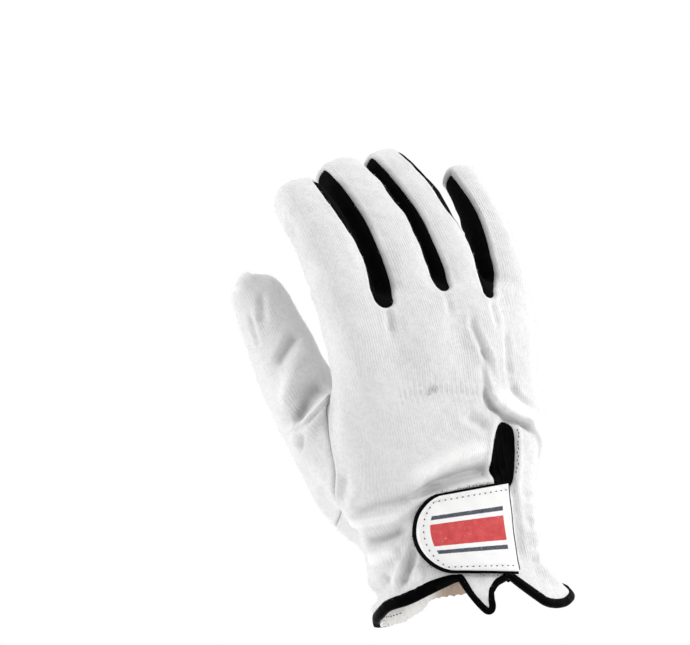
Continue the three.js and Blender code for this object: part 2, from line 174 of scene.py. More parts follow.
HEM = columns(
    "angle z tall",
    (-180, -3.2, 4.8), (-167, -0.6, 4.8), (-144, 1.2, 5.4), (-123, 4.1, 5.3), (-109, 5.6, 4.1),
    (-104, 5.6, 3.2), (-101.4, 4.6, 3), (-99.8, -4.4, 3), (-98.2, -8.8, 3), (-96.6, -9.6, 3),
    (-95, -8.2, 3), (-93.4, -4.9, 3), (-90.4, -1.8, 3), (-83.8, 1, 3.2), (-76.4, 2.4, 3.2),
    (-71.2, 3.4, 3.2), (-68.8, 0.2, 3.6), (-66.4, -5.4, 3.9), (-63, -9.6, 3.9),
    (-56, -11.6, 3.9), (-46.5, -11.9, 3.9), (-38, -10.9, 3.9), (-30, -9.5, 3.9),
    (-25, -7.6, 3.9), (-22, -5.2, 3.9), (-19, -2.1, 3.9), (-14, -0.4, 3.8), (-4, 0.4, 3.8),
    (22, 1, 4), (42, 3, 4.4), (62, 1.4, 4.4), (78, 0.8, 4.4), (92, 1.2, 4.4), (110, -3.8, 4.4),
    (124, -6, 4.4), (142, -6.4, 4.6), (168, -5, 4.8), (180, -3.2, 4.8),
)

FOLD_DEPTH = 1.25
GATHER_LINE = (
    (-27, -16, 83), (-17, -18, 83), (-10, -18, 84), (-2, -18, 82), (8, -18, 80), (18, -18, 79),
)
TACK = (  # x and z
    (-11.2, 83.2), (-10.2, 82.2), (-9.4, 84), (-8.4, 82.4), (-7.6, 84.2), (-6.6, 82.8), (-5.8, 84.6),
)

# Folds of the cloth as seen on the glove on a hand: kind, rise, width and line. A valley or ridge
# is round, a pull is a valley that gets no painted shade, a crease is sharp, and a lip stands up
# on the left of its line and falls away sharply to the right. Besides their relief, valleys,
# creases and a lip's foot get painted shade in the cloth's colour, and ridges and a lip's top a
# painted highlight.
FOLDS = (
    # Thumb
    ("ridge", 2.4, 3.0, ((-41, 9, 89), (-45, 8.5, 86), (-49, 8, 83), (-55, 9.5, 78.5), (-60, 20, 76))),
    ("lip", 1.5, 2.6, ((-60, 21, 77), (-55, 9.5, 79.5), (-49, 8, 84.5), (-45, 8.5, 87.5), (-41, 9, 91))),
    ("valley", 2.8, 4.6, ((-41, 14, 96), (-48, 12, 93), (-54, 11.5, 88), (-57, 13, 84), (-59, 17, 81))),
    ("valley", 1.3, 2.0, ((-48, 12, 90), (-53.6, 11.3, 86.5), (-57, 12.8, 82.5), (-59, 16.7, 79.6))),
    ("valley", 1.6, 2.2, ((-56.5, 11, 76.5), (-57.8, 13.4, 72.7), (-58.2, 16.1, 69))),
    ("valley", 0.9, 1.8, ((-53.8, 35, 139), (-55.5, 33, 133), (-56.8, 31.5, 129), (-57.8, 30, 124))),
    ("ridge", 2.2, 4.0, ((-53, 44, 147), (-59, 43, 145.5), (-62, 41, 140))),
    ("crease", 1.2, 1.3, ((-61, 36, 131), (-61, 33, 123), (-61, 30, 115))),
    ("valley", 1.6, 2.4, (
        (-46, 25, 119), (-48, 24, 116.5), (-52.7, 22, 112), (-56, 21.6, 108.5), (-59, 22, 105),
    )),
    ("ridge", 1.2, 3.0, ((-43, 24, 113), (-49, 20, 108), (-54, 18, 103), (-58, 18, 96), (-60, 19, 88))),
    # Wrist's thumb side
    ("pull", 3.2, 6.0, ((-54, 15, 54), (-52, 11.5, 45), (-48.5, 9.5, 38), (-45, 7.5, 31), (-43, 7, 24))),
    ("valley", 0.8, 1.8, ((-48, -5, 56), (-49, -2.6, 50.5), (-49.6, 0, 45))),
    ("ridge", 0.8, 2.2, ((-45, -7, 54), (-46, -5, 47), (-48, -1, 41))),
    ("valley", 1.3, 2.4, (
        (-46, -3, 38.6), (-43, -7.8, 40), (-38.4, -11.5, 40.8), (-32, -14.7, 41.4), (-25, -17, 42),
    )),
    ("ridge", 2.2, 2.6, (
        (-48, 3, 36.5), (-45, -3.5, 35.2), (-40.3, -8.1, 34.6), (-35.7, -11.1, 34.4), (-29, -14.5, 35.5),
    )),
    ("valley", 2.1, 2.2, (
        (-43.5, 0, 27.5), (-41.3, -6.6, 26.6), (-38.4, -10.4, 27), (-34.8, -13, 28), (-29, -15.6, 30),
    )),
    ("ridge", 1.8, 3.6, ((-43, 0, 19), (-39, -9, 20), (-34, -13.5, 22))),
    # Between the tab's end and the hem
    ("valley", 2.4, 1.9, (
        (-27, -16, 21.5), (-28.4, -15.8, 19.5), (-30.7, -14.8, 15.5), (-33.8, -14.4, 10.7), (-36, -13, 6),
    )),
    ("valley", 1.4, 1.8, ((-38.6, -9, 12.5), (-39.8, -7, 9.5), (-41.2, -3.7, 6))),
    ("ridge", 1.0, 2.0, ((-33, -13.5, 18), (-36, -12, 12), (-38.5, -10, 6.5))),
    ("ridge", 1.2, 2.2, ((-26, -17, 13), (-29, -16.5, 9), (-31, -16, 6))),
    ("pull", 2.8, 3.0, ((-35, 18, 3), (-40, 12, 4), (-42, 3, 5), (-42, -3, 6.5), (-40, -8, 8.5))),
    # Flap
    ("ridge", 1.2, 3.0, ((29.4, -13.9, 4), (31, -13.8, 1), (34, -13.6, -2), (37, -13.4, -4))),
    ("valley", 0.8, 1.7, ((22, -17, 7.6), (26, -16, 7.2), (30, -14.5, 6.8), (34, -12, 6.5))),
    # Beside the tab and over it
    ("valley", 1.2, 1.9, (
        (21.5, -16.1, 42), (21.2, -15.8, 33.3), (20.7, -15.7, 27.1), (20, -16, 20.9),
        (19, -16.8, 14.6), (18, -18, 7),
    )),
    ("crease", 3.0, 2.3, (
        (-34, -14, 38.6), (-27, -16.6, 40.6), (-18, -18.2, 43.8), (-9.6, -18.9, 45.4), (1, -19, 46.6),
        (10.5, -18.4, 47), (18, -17.6, 47.2),
    )),
    ("valley", 2.5, 3.6, (
        (-25, -17, 40), (-19, -18, 44), (-11, -19, 47), (1, -19, 48.4), (9, -18, 49.4), (15, -18, 50),
    )),
    ("ridge", 1.6, 5.0, ((-30, -16, 47), (-17, -18, 51), (-3, -19, 55), (12, -18, 58))),
    # Back of the hand
    ("valley", 0.5, 1.6, GATHER_LINE),
    ("valley", 1.0, 1.6, (
        (15.5, -18, 114), (14.3, -19, 107), (16.4, -19.7, 98), (18.7, -19.4, 92), (20.7, -17.6, 84),
    )),
    ("valley", 0.9, 1.7, ((30.8, -16.1, 104), (30, -16.5, 98.6), (29, -16.9, 92), (28.4, -16, 84))),
    # Hood over the insert, and the roll beside it
    ("lip", 2.6, 3.6, (
        (17.4, -18, 83), (17.2, -18, 78), (18.6, -18, 74), (23.4, -17, 70), (28.6, -15.8, 67.6),
        (34.8, -13.4, 64.6), (38.6, -11.5, 59.8),
    )),
    ("ridge", 1.7, 3.0, (
        (20.4, -17.4, 82), (22.6, -17, 77.5), (27, -16, 73.6), (33, -14, 70.6), (39.5, -11, 64.5),
    )),
    ("valley", 1.3, 1.8, ((28, -16, 82), (30, -15.5, 77.6), (32.5, -14.6, 74.2), (38, -12, 71))),
    ("valley", 1.2, 2.6, ((4, -19, 71), (8, -18.8, 68.6), (13, -18.5, 64.5))),
    ("pull", 1.1, 1.8, ((27, -14, 34.6), (30, -12.6, 33.6), (34, -9, 32))),
    ("pull", 1.2, 1.8, ((25.4, -14.5, 22.8), (29.1, -13.8, 21.3), (34, -9, 20))),
    ("pull", 1.1, 1.8, ((25, -15.4, 12.8), (28.5, -14.4, 12), (33, -10, 11.4))),
    # Puckers at the strips' tongues, and the notch of the index
    ("valley", 1.1, 1.8, ((-21, -13, 120), (-21, -14, 116), (-22, -16, 109))),
    ("valley", 0.7, 1.6, ((6, -13, 124), (6, -16, 117), (5, -17, 113))),
    ("valley", 0.9, 1.6, ((27, -15, 117), (26, -16, 111), (26, -17, 106))),
    ("pull", 0.8, 2.6, ((-46, 20, 168), (-46, 14, 162), (-44, 10, 157))),
    # Palm
    ("valley", 1.0, 2.2, ((-28, 14, 104), (-14, 16, 88), (-8, 18, 66), (-9, 19, 48))),
    ("valley", 0.8, 2.0, ((38, 14, 104), (18, 16, 100), (-4, 16, 100))),
    ("valley", 1.0, 2.2, ((-34, 14, 30), (-12, 21, 27), (10, 21, 28), (28, 16, 30))),
)
# Creases across the fingers on the palm side, and soft knuckles on the back: digit, the way
# along it, depth and width
JOINTS = (
    ("index", 46, 1.1, 1.8), ("index", 74, 1.0, 1.6), ("middle", 48, 1.2, 1.8),
    ("middle", 78, 1.0, 1.6), ("ring", 46, 1.1, 1.8), ("ring", 76, 1.0, 1.6),
    ("little", 44, 0.9, 1.5), ("little", 70, 0.8, 1.4), ("thumb", 92, 1.0, 2.0),
)


def look_up(table, column, at):
    """Smooth value of one column of a table, by its first column."""
    x, y = next(iter(table.values())), table[column]
    rise, run = (np.pad(v, 1, "edge")[2:] - np.pad(v, 1, "edge")[:-2] for v in (y, x))
    slope = rise / run
    at = np.clip(np.asarray(at, float), x[0], x[-1])
    i = np.clip(np.searchsorted(x, at, side="right") - 1, 0, len(x) - 2)
    span = x[i + 1] - x[i]
    t = (at - x[i]) / span
    start = (1 + 2 * t) * (1 - t) ** 2 * y[i] + t * (1 - t) ** 2 * span * slope[i]
    return start + t * t * (3 - 2 * t) * y[i + 1] + t * t * (t - 1) * span * slope[i + 1]


def smooth_step(low, high, x):
    t = np.clip((x - low) / (high - low), 0, 1)
    return t * t * (3 - 2 * t)


def fade(t):
    return np.where(np.abs(t) < 1, np.cos(np.clip(t, -1, 1) * np.pi / 2) ** 2, 0)


def bell(t, sharpness=1):
    return np.exp(-sharpness * t * t)


def window(x, start, full, last, end):
    """1 from full to last, and down to 0 at start and at end."""
    return smooth_step(start, full, x) * smooth_step(end, last, x)


def faded_ends(share, span):
    """1 along a line, and down to 0 over a span at each of its ends."""
    return smooth_step(0, span, share) * smooth_step(0, span, 1 - share)


def way_along(line):
    return np.concatenate([[0], np.cumsum(np.linalg.norm(np.diff(line, axis=0), axis=1))])


def unit(v):
    return v / np.maximum(np.linalg.norm(v, axis=-1, keepdims=True), 1e-9)


# Fields: distance to each limb's surface
def trunk_width(z):
    """The trunk's middle and its half width."""
    thumb_side, little_side = look_up(TRUNK, "thumb_side", z), look_up(TRUNK, "little_side", z)
    return (little_side - thumb_side) / 2, (thumb_side + little_side) / 2


def trunk_depth(y, z):
    return np.where(y > 0, look_up(TRUNK, "palm", z), look_up(TRUNK, "back", z))


def trunk_section(x, y, z):
    """Share of the way from the axis to the trunk's surface, and the angle there."""
    middle, half = trunk_width(z)
    across = (x - middle) / half
    down = y / trunk_depth(y, z)
    c = np.abs(across) ** (TRUNK_POWER / 2)
    s = np.abs(down) ** (TRUNK_POWER / 2)
    share = (c * c + s * s) ** (1 / TRUNK_POWER)
    return share, np.degrees(np.arctan2(np.sign(down) * s, np.sign(across) * c))


def broad_fold_out(angle, z):
    out = np.zeros(np.broadcast(angle, z).shape)
    for fold_angle, fold_z, rise, span_angle, span_z in BROAD_FOLDS:
        turn = (angle - fold_angle + 180) % 360 - 180
        out += rise * fade(turn / span_angle) * fade((z - fold_z) / span_z)
    return out


def rounded_off(share, over, reach):
    """Distance to a limb's surface, from the share of the way to its side, the share past
    its end and the distance to its axis."""
    whole = np.maximum((share**CAP_POWER + over**CAP_POWER) ** (1 / CAP_POWER), 1e-3)
    reach = reach + 1e-3
    return reach - reach / whole


def trunk_field(x, y, z):
    share, angle = trunk_section(x, y, z)
    over = np.maximum(z - TRUNK_TOP, 0) / TRUNK_CAP
    reach = np.sqrt((x - trunk_width(z)[0]) ** 2 + y * y + (over * TRUNK_CAP) ** 2)
    return rounded_off(share, over, reach) - broad_fold_out(angle, z)


AXIS_STEPS = 96


def digit_axis(name):
    """A digit's axis: the way along it, and its points and directions ahead, to the side
    and to the palm side."""
    base, stations = DIGITS[name]
    along = np.linspace(0, stations["along"][-1], AXIS_STEPS)

    def directions(s):
        spread = np.radians(look_up(stations, "spread", s))
        curl = np.radians(look_up(stations, "curl", s))
        ahead = np.stack([np.sin(spread) * np.cos(curl), np.sin(curl), np.cos(spread) * np.cos(curl)], -1)
        return ahead, np.stack([np.cos(spread), np.zeros_like(spread), -np.sin(spread)], -1)

    half_way, _ = directions((along[1:] + along[:-1]) / 2)
    walked = np.cumsum(half_way * (along[1] - along[0]), axis=0)
    ahead, side = directions(along)
    return along, base + np.vstack([np.zeros(3), walked]), ahead, side, np.cross(ahead, side)


AXES = {name: digit_axis(name) for name in DIGITS}
POINTS_AT_ONCE = 60000


def digit_place(name, points):
    """Where points lie by a digit: along it, to its side and to its palm side, and the
    distance to its surface."""
    along, centre, ahead, side, palm = AXES[name]
    stations = DIGITS[name][1]
    nearest = []
    for start in range(0, len(points), POINTS_AT_ONCE):
        part = points[start : start + POINTS_AT_ONCE]
        gap = (part**2).sum(1)[:, None] - 2 * part @ centre.T + (centre**2).sum(1)[None]
        nearest.append(gap.argmin(1))
    nearest = np.concatenate(nearest)
    s = along[nearest] + ((points - centre[nearest]) * ahead[nearest]).sum(1)
    held = np.clip(s, 0, along[-1])

    def at(values):
        return np.stack([np.interp(held, along, values[:, k]) for k in range(3)], -1)

    away = points - at(centre)
    a, b = (away * at(side)).sum(1), (away * at(palm)).sum(1)
    half_width = look_up(stations, "width", held) / 2
    half_depth = look_up(stations, "depth", held) / 2
    cap = stations["width"][-1] / 2
    over = np.maximum(s - (along[-1] - cap), 0) / cap + np.maximum(-s, 0) / 10
    total = np.abs(a / half_width) ** DIGIT_POWER + np.abs(b / half_depth) ** DIGIT_POWER
    reach = np.sqrt(a * a + b * b + (over * cap) ** 2)
    return s, a, b, rounded_off(total ** (1 / DIGIT_POWER), over, reach)


def blend_min(a, b, radius):
    h = np.maximum(radius - np.abs(a - b), 0) / radius
    return np.minimum(a, b) - h * h * radius / 4


# The box of the hand's field, and how far round its axis a digit counts
FIELD_LOW = (-72.0, -36.0, -22.0)
FIELD_HIGH = (64.0, 64.0, 202.0)
DIGIT_REACH = 26
FAR = 9.0
DIGIT_BLEND = 1.2
TRUNK_BLEND = 6.0


def hand_field(cell):
    """The whole hand's distance field on a grid."""
    axes = [np.arange(low, high, cell) for low, high in zip(FIELD_LOW, FIELD_HIGH)]
    digits = np.full([len(axis) for axis in axes], FAR)
    for name, (_, centre, *_) in AXES.items():
        block = tuple(
            slice(*np.searchsorted(axis, (line.min() - DIGIT_REACH, line.max() + DIGIT_REACH)))
            for axis, line in zip(axes, centre.T)
        )
        grids = np.meshgrid(*(axis[part] for axis, part in zip(axes, block)), indexing="ij")
        points = np.stack([g.ravel() for g in grids], -1)
        d = digit_place(name, points)[3].reshape(grids[0].shape)
        digits[block] = blend_min(digits[block], d, DIGIT_BLEND)
    trunk = trunk_field(*np.meshgrid(*axes, indexing="ij", sparse=True))
    return blend_min(trunk, digits, TRUNK_BLEND)


# Meshes are parts: points, triangles and one array for each named value
def corners(points, triangles):
    return [points[triangles[:, k]] for k in range(3)]


def sides_of(triangles):
    """The triangles' sides as pairs of corners, in each triangle's own direction."""
    return np.vstack([triangles[:, [0, 1]], triangles[:, [1, 2]], triangles[:, [2, 0]]])


def halves(a, b, c, d):
    """Two triangles for each face with four corners."""
    return np.vstack([np.stack(t, -1).reshape(-1, 3) for t in ((a, b, c), (a, c, d))])


def skin(count, sides, closed=False):
    """Triangles over rings of points, with a cap at each end unless the rings close."""
    grid = np.arange(count * sides).reshape(count, sides)
    a, d = (grid, np.roll(grid, -1, axis=0)) if closed else (grid[:-1], grid[1:])
    triangles = [halves(a, np.roll(a, -1, axis=1), np.roll(d, -1, axis=1), d)]
    if not closed:
        for ring, way in ((grid[0], -1), (grid[-1], 1)):
            triangles.append([(ring[0], ring[k], ring[k + 1])[::way] for k in range(1, sides - 1)])
    return np.vstack(triangles)


def facing_out(points, triangles):
    """The triangles of a closed surface, turned over if they face inwards."""
    a, b, c = corners(points, triangles)
    return triangles[:, ::-1] if (np.cross(a, b) * c).sum() < 0 else triangles


def surface(cell, inset):
    """Triangles of the hand's surface, or of one inset below it."""
    band = 3 * cell
    grid = openvdb.FloatGrid(band)
    grid.copyFromArray(np.clip(hand_field(cell) + inset, -band, band).astype(np.float32))
    points, quads = grid.convertToQuads(0.0)
    points = points.astype(float) * cell + FIELD_LOW
    return points, facing_out(points, halves(*quads.T).astype(int))


def spread_sum(index, values, count):
    return np.stack([np.bincount(index, values[:, k], count) for k in range(3)], -1)


def relax(points, triangles, rounds, share=0.5):
    edges = sides_of(triangles)
    edges = np.vstack([edges, edges[:, ::-1]])
    count = np.maximum(np.bincount(edges[:, 0], minlength=len(points)), 1)[:, None]
    for _ in range(rounds):
        points = points + share * (spread_sum(edges[:, 0], points[edges[:, 1]], len(points)) / count - points)
    return points


def normals_of(points, triangles):
    a, b, c = corners(points, triangles)
    face = np.cross(b - a, c - a)
    return unit(sum(spread_sum(triangles[:, k], face, len(points)) for k in range(3)))


# Regions of the cloth: a negative value lies inside
def tip_distance(name, points):
    along, centre, ahead, side, _ = AXES[name]
    s = along[-1] - STRIP_END
    i = int(np.searchsorted(along, s))
    away = points - centre[i]
    beside = np.abs(away @ side[i]) - look_up(DIGITS[name][1], "width", s) / 2
    return np.where(beside < 0, away @ ahead[i], -5.0)


def strip_region(node, points):
    left, right, edges = STRIPS[node]
    z = np.maximum(points[:, 2], edges["z"][0])
    start, end = look_up(edges, "left", z), look_up(edges, "right", z)
    below = np.minimum(points[:, 2] - z, 0)
    g = np.hypot(points[:, 0] - (start + end) / 2, below) - (end - start) / 2
    g = np.maximum(g, tip_distance(left, points))
    return np.maximum(g, tip_distance(right, points))


def thumb_region(points):
    x, y, slope = THUMB_SEAM
    outward = np.array([-math.sin(math.radians(slope)), math.cos(math.radians(slope)), 0])
    plane = look_up(SEAM_SHIFT, "shift", points[:, 2]) - (points - [x, y, 0]) @ outward
    return np.maximum(digit_place("thumb", points)[3] - THUMB_ROOT, plane)


def insert_region(points):
    """A rounded lens that leans, on the back only."""
    rise = INSERT_TOP - INSERT_BOTTOM
    half = np.linalg.norm(rise) / 2
    away = points[:, [0, 2]] - (INSERT_BOTTOM + INSERT_TOP) / 2
    along = away @ (rise / (2 * half))
    across = away @ (np.array([rise[1], -rise[0]]) / (2 * half))
    round_share = np.abs(along / half) ** 2.6 + np.abs(across / INSERT_HALF_WIDTH) ** 2.2
    g = (round_share ** (1 / 2.4) - 1) * INSERT_HALF_WIDTH
    return np.where(points[:, 1] < 0, g, FAR)


def hem_height(angle, column="z"):
    return look_up(HEM, column, (np.asarray(angle) + 180) % 360 - 180)


def hem_region(points):
    return points[:, 2] - hem_height(trunk_section(*points.T)[1])


# Relief
def waves(points, size, seed, count=14):
    """Smooth irregular relief about 1 high, from waves in mixed directions."""
    rng = np.random.default_rng(seed)
    total = np.zeros(len(points))
    for _ in range(count):
        direction = unit(rng.normal(size=3)) * 2 * np.pi / (size * rng.uniform(0.7, 1.6))
        total += np.sin(points @ direction + rng.uniform(0, 6.28))
    return total / math.sqrt(count)


def to_line(points, line):
    """Distance to a line, the way along it as a share, the vector from it and its direction."""
    line = np.array(line, float)
    steps = np.linalg.norm(np.diff(line, axis=0), axis=1)
    lengths = np.concatenate([[0], np.cumsum(steps)])
    best = np.full(len(points), 1e9)
    share = np.zeros(len(points))
    away = np.zeros_like(points)
    direction = np.zeros_like(points)
    for i, (a, b) in enumerate(pairwise(line)):
        t = np.clip(((points - a) @ (b - a)) / steps[i] ** 2, 0, 1)
        gap = points - a - t[:, None] * (b - a)
        d = np.linalg.norm(gap, axis=1)
        closer = d < best
        best[closer] = d[closer]
        share[closer] = ((lengths[i] + t * steps[i]) / lengths[-1])[closer]
        away[closer] = gap[closer]
        direction[closer] = (b - a) / steps[i]
    return best, share, away, direction


def fold_shift(points, normals):
    """How the folds move the cloth: a shift for each point, and its painted shading: shade painted into the
    valleys and creases, highlight painted on the ridges.
    """
    shift = np.zeros_like(points)
    painted_shading = np.zeros(len(points))
    for kind, rise, width, line in FOLDS:
        rise *= FOLD_DEPTH
        found = to_line(points, line)
        near = found[0] < 4 * width
        d, share, away, direction = (values[near] for values in found)
        n = normals[near]
        ends = 0.25 + 0.75 * faded_ends(share, 0.22)
        t = d / width
        # deep is each fold's painted shading: painted shade where it is positive (valleys, creases, a lip's
        # foot), painted highlight where it is negative (ridges, a lip's top).
        if kind == "ridge":
            out = rise * bell(t)
            deep = -0.9 * bell(t, 1.4)
        elif kind in ("valley", "pull"):
            out = -rise * bell(t) + 0.25 * rise * bell(t - 1.7, 2)
            deep = bell(t, 1.2) * (kind == "valley")
        elif kind == "crease":
            out = -rise * np.exp(-1.6 * t) + 0.3 * rise * bell(t - 1.6, 2)
            deep = np.exp(-1.8 * t)
        else:
            up = unit(np.cross(n, direction))
            signed = (away * up).sum(1) / width
            stand = smooth_step(-0.22, 0.3, signed) * bell(np.maximum(signed, 0), 0.7)
            out = rise * stand - 0.8 * rise * bell((signed + 0.45) / 0.4)
            shift[near] -= (0.55 * rise * ends * stand * np.exp(-np.abs(signed)))[:, None] * up
            deep = bell((signed + 0.3) / 0.4) - 0.5 * bell((signed - 0.7) / 0.5)
        shift[near] += (out * ends)[:, None] * n
        painted_shading[near] += deep * ends * min(rise / 2.5, 1)
    return shift, painted_shading


def joint_out(places):
    out = 0.0
    for name, at, depth, width in JOINTS:
        s, a, b, d = places[name]
        turned = b / (look_up(DIGITS[name][1], "depth", s) / 2)
        bend = s - at - 0.03 * a * a
        palm = smooth_step(0.15, 0.7, turned)
        back = smooth_step(0.3, 0.8, -turned)
        rolls = 0.35 * bell((np.abs(bend) - 2.4 * width) / (1.6 * width))
        relief = palm * (rolls - bell(bend / width)) + 0.35 * back * bell(bend / 7)
        out += depth * bell(np.maximum(d, 0) / 2.5) * relief
    return out


def cloth_coordinates(points, places):
    """Each point's place on the knit, blended from the trunk and the digits: across the
    wales, along them, and the depth that takes the place of across on the flanks."""
    x, y, z = points.T
    sets = [(trunk_field(x, y, z), x, z, y)]
    for name, (s, a, b, d) in places.items():
        base_x, base_y, base_z = DIGITS[name][0]
        sets.append((d, base_x + a, base_z + s, base_y + b))
    nearest = np.min([d for d, *_ in sets], axis=0)
    weights = [np.exp(-(d - nearest) / 2.0) for d, *_ in sets]
    total = np.sum(weights, axis=0)
    return [sum(w * values[k] for w, values in zip(weights, sets)) / total for k in (1, 2, 3)]


def cut(part, region):
    """Splits a part at the edge of a region: what lies inside, then what lies outside."""
    points, triangles, values = part
    g = region(values["flat"])
    edges = np.unique(np.sort(sides_of(triangles), axis=1), axis=0)
    crossing = edges[(g[edges[:, 0]] < 0) != (g[edges[:, 1]] < 0)]
    t = g[crossing[:, 0]] / (g[crossing[:, 0]] - g[crossing[:, 1]])
    t = np.clip(t, 0.02, 0.98)

    def grown(array):
        share = t.reshape(-1, *[1] * (array.ndim - 1))
        added = array[crossing[:, 0]] * (1 - share) + array[crossing[:, 1]] * share
        return np.concatenate([array, added])

    new_index = {tuple(edge): len(points) + i for i, edge in enumerate(crossing.tolist())}
    points = grown(points)
    values = {name: grown(array) for name, array in values.items()}
    below = g < 0
    inside = below[triangles].sum(1)
    made = {True: [], False: []}
    for triangle in triangles[(inside == 1) | (inside == 2)].tolist():
        flags = [bool(below[i]) for i in triangle]
        lone = flags.index(True) if sum(flags) == 1 else flags.index(False)
        a, b, c = (triangle[(lone + k) % 3] for k in range(3))
        ab = new_index[(min(a, b), max(a, b))]
        ac = new_index[(min(a, c), max(a, c))]
        made[flags[lone]].append((a, ab, ac))
        made[not flags[lone]] += [(ab, b, c), (ab, c, ac)]
    out = []
    for key, corners_inside in ((True, 3), (False, 0)):
        whole = triangles[inside == corners_inside]
        faces = np.vstack([whole, np.array(made[key], int).reshape(-1, 3)])
        used, renumbered = np.unique(faces, return_inverse=True)
        kept = {name: array[used] for name, array in values.items()}
        out.append((points[used], renumbered.reshape(-1, 3), kept))
    return out


def with_rim(part):
    """Turns the open edge of a piece of cloth inwards, so that it shows its thickness."""
    points, triangles, values = part
    directed = sides_of(triangles)
    size = directed.max() + 1
    key = directed[:, 0] * size + directed[:, 1]
    back = directed[:, 1] * size + directed[:, 0]
    rim = directed[~np.isin(key, back)]
    ends = np.unique(rim)
    lower = np.full(len(points), -1)
    lower[ends] = np.arange(len(ends)) + len(points)
    added = points[ends] - values["normal"][ends] * WALL
    a, b = rim.T
    faces = np.vstack([triangles, halves(b, a, lower[a], lower[b])])
    values = {name: np.concatenate([array, array[ends]]) for name, array in values.items()}
    return np.vstack([points, added]), faces, values


def add_object(name, node, points, triangles, material, values=None, smooth=True):
    """A piece that stands in for a node of the solids. Only the values with one number for
    each point are kept."""
    mesh = bpy.data.meshes.new(name)
    mesh.from_pydata((np.asarray(points) * MM).tolist(), [], np.asarray(triangles).tolist())
    for key, array in (values or {}).items():
        if array.ndim == 1:
            attribute = mesh.attributes.new(key, "FLOAT", "POINT")
            attribute.data.foreach_set("value", array.astype(np.float32))
    mesh.materials.append(material)
    mesh.polygons.foreach_set("use_smooth", [smooth] * len(mesh.polygons))
    mesh.update()
    made = bpy.data.objects.new(name, mesh)
    bpy.context.scene.collection.objects.link(made)
    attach(made, "root")
    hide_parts(node)


# Materials
class Value:
    """A number or colour in a graph, with plain arithmetic."""

    def __init__(self, graph, socket):
        self.graph, self.socket = graph, socket

    def __add__(self, other):
        return self.graph.math("ADD", self, other)

    def __sub__(self, other):
        return self.graph.math("SUBTRACT", self, other)

    def __rsub__(self, other):
        return self.graph.math("SUBTRACT", other, self)

    def __mul__(self, other):
        return self.graph.math("MULTIPLY", self, other)

    def __truediv__(self, other):
        return self.graph.math("DIVIDE", self, other)

    def sine(self):
        return self.graph.math("SINE", self)


class Graph:
    """Short hand for the nodes of a material or a world. Colours go without their alpha."""

    def __init__(self, owner):
        owner.use_nodes = True
        self.owner = owner
        self.tree = owner.node_tree

    def feed(self, socket, value):
        if isinstance(value, Value):
            self.tree.links.new(value.socket, socket)
        else:
            socket.default_value = (*value, 1) if socket.type == "RGBA" else value

    def node(self, kind, output, inputs=(), **settings):
        """Adds a node and returns one of its outputs. Inputs are pairs of name and value."""
        made = self.tree.nodes.new(kind)
        for key, value in settings.items():
            setattr(made, key, value)
        for key, value in inputs:
            self.feed(made.inputs[key], value)
        return Value(self, made.outputs[output])

    def math(self, operation, *values):
        return self.node("ShaderNodeMath", 0, enumerate(values), operation=operation)

    def value(self, name):
        return self.node("ShaderNodeAttribute", "Fac", attribute_name=name)

    def noise(self, scale, detail=2.0, roughness=0.5):
        place = self.node("ShaderNodeTexCoord", "Object")
        inputs = (("Vector", place), ("Scale", scale), ("Detail", detail), ("Roughness", roughness))
        return self.node("ShaderNodeTexNoise", "Fac", inputs)

    def ramp(self, value, low, high, start=0.0, end=1.0, kind="SMOOTHSTEP"):
        inputs = enumerate((value, low, high, start, end))
        return self.node("ShaderNodeMapRange", "Result", inputs, interpolation_type=kind)

    def patches(self, scale, low, high):
        return self.ramp(self.noise(scale), 0.3, 0.7, low, high)

    def mix(self, share, a, b, kind="RGBA"):
        inputs = (("Factor", share), ("A", a), ("B", b))
        return self.node("ShaderNodeMix", "Result", inputs, data_type=kind)

    def bump(self, height, distance):
        inputs = (("Distance", distance), ("Strength", 1.0), ("Height", height))
        shader = self.tree.nodes["Principled BSDF"]
        self.feed(shader.inputs["Normal"], self.node("ShaderNodeBump", "Normal", inputs))

    def finish(self, colour, roughness, sheen=0.0, specular=0.5):
        shader = self.tree.nodes["Principled BSDF"]
        self.feed(shader.inputs["Base Color"], colour)
        self.feed(shader.inputs["Roughness"], roughness)
        self.feed(shader.inputs["Sheen Weight"], sheen)
        self.feed(shader.inputs["Sheen Roughness"], 0.6)
        self.feed(shader.inputs["Specular IOR Level"], specular)
        return self.owner


def new_material(name):
    return Graph(bpy.data.materials.new(name))


def knit_height(g, wale, course):
    """Height of knitted stitches: columns of small slanted loops."""
    warp = (g.noise(420) - 0.5) * 0.7
    along = g.value("along") + warp

    def columns_of(u):
        edge = g.math("ABSOLUTE", g.math("FRACT", u / wale) - 0.5)
        rib = 1.0 - g.math("POWER", edge * 2.0, 2.0)
        loop = ((along / course + edge * 1.1) * (2 * math.pi)).sine()
        return rib * 0.75 + loop * 0.14

    back, side = (columns_of(g.value(name) + warp) for name in ("across", "deep"))
    return g.mix(g.value("flank"), back, side, "FLOAT")


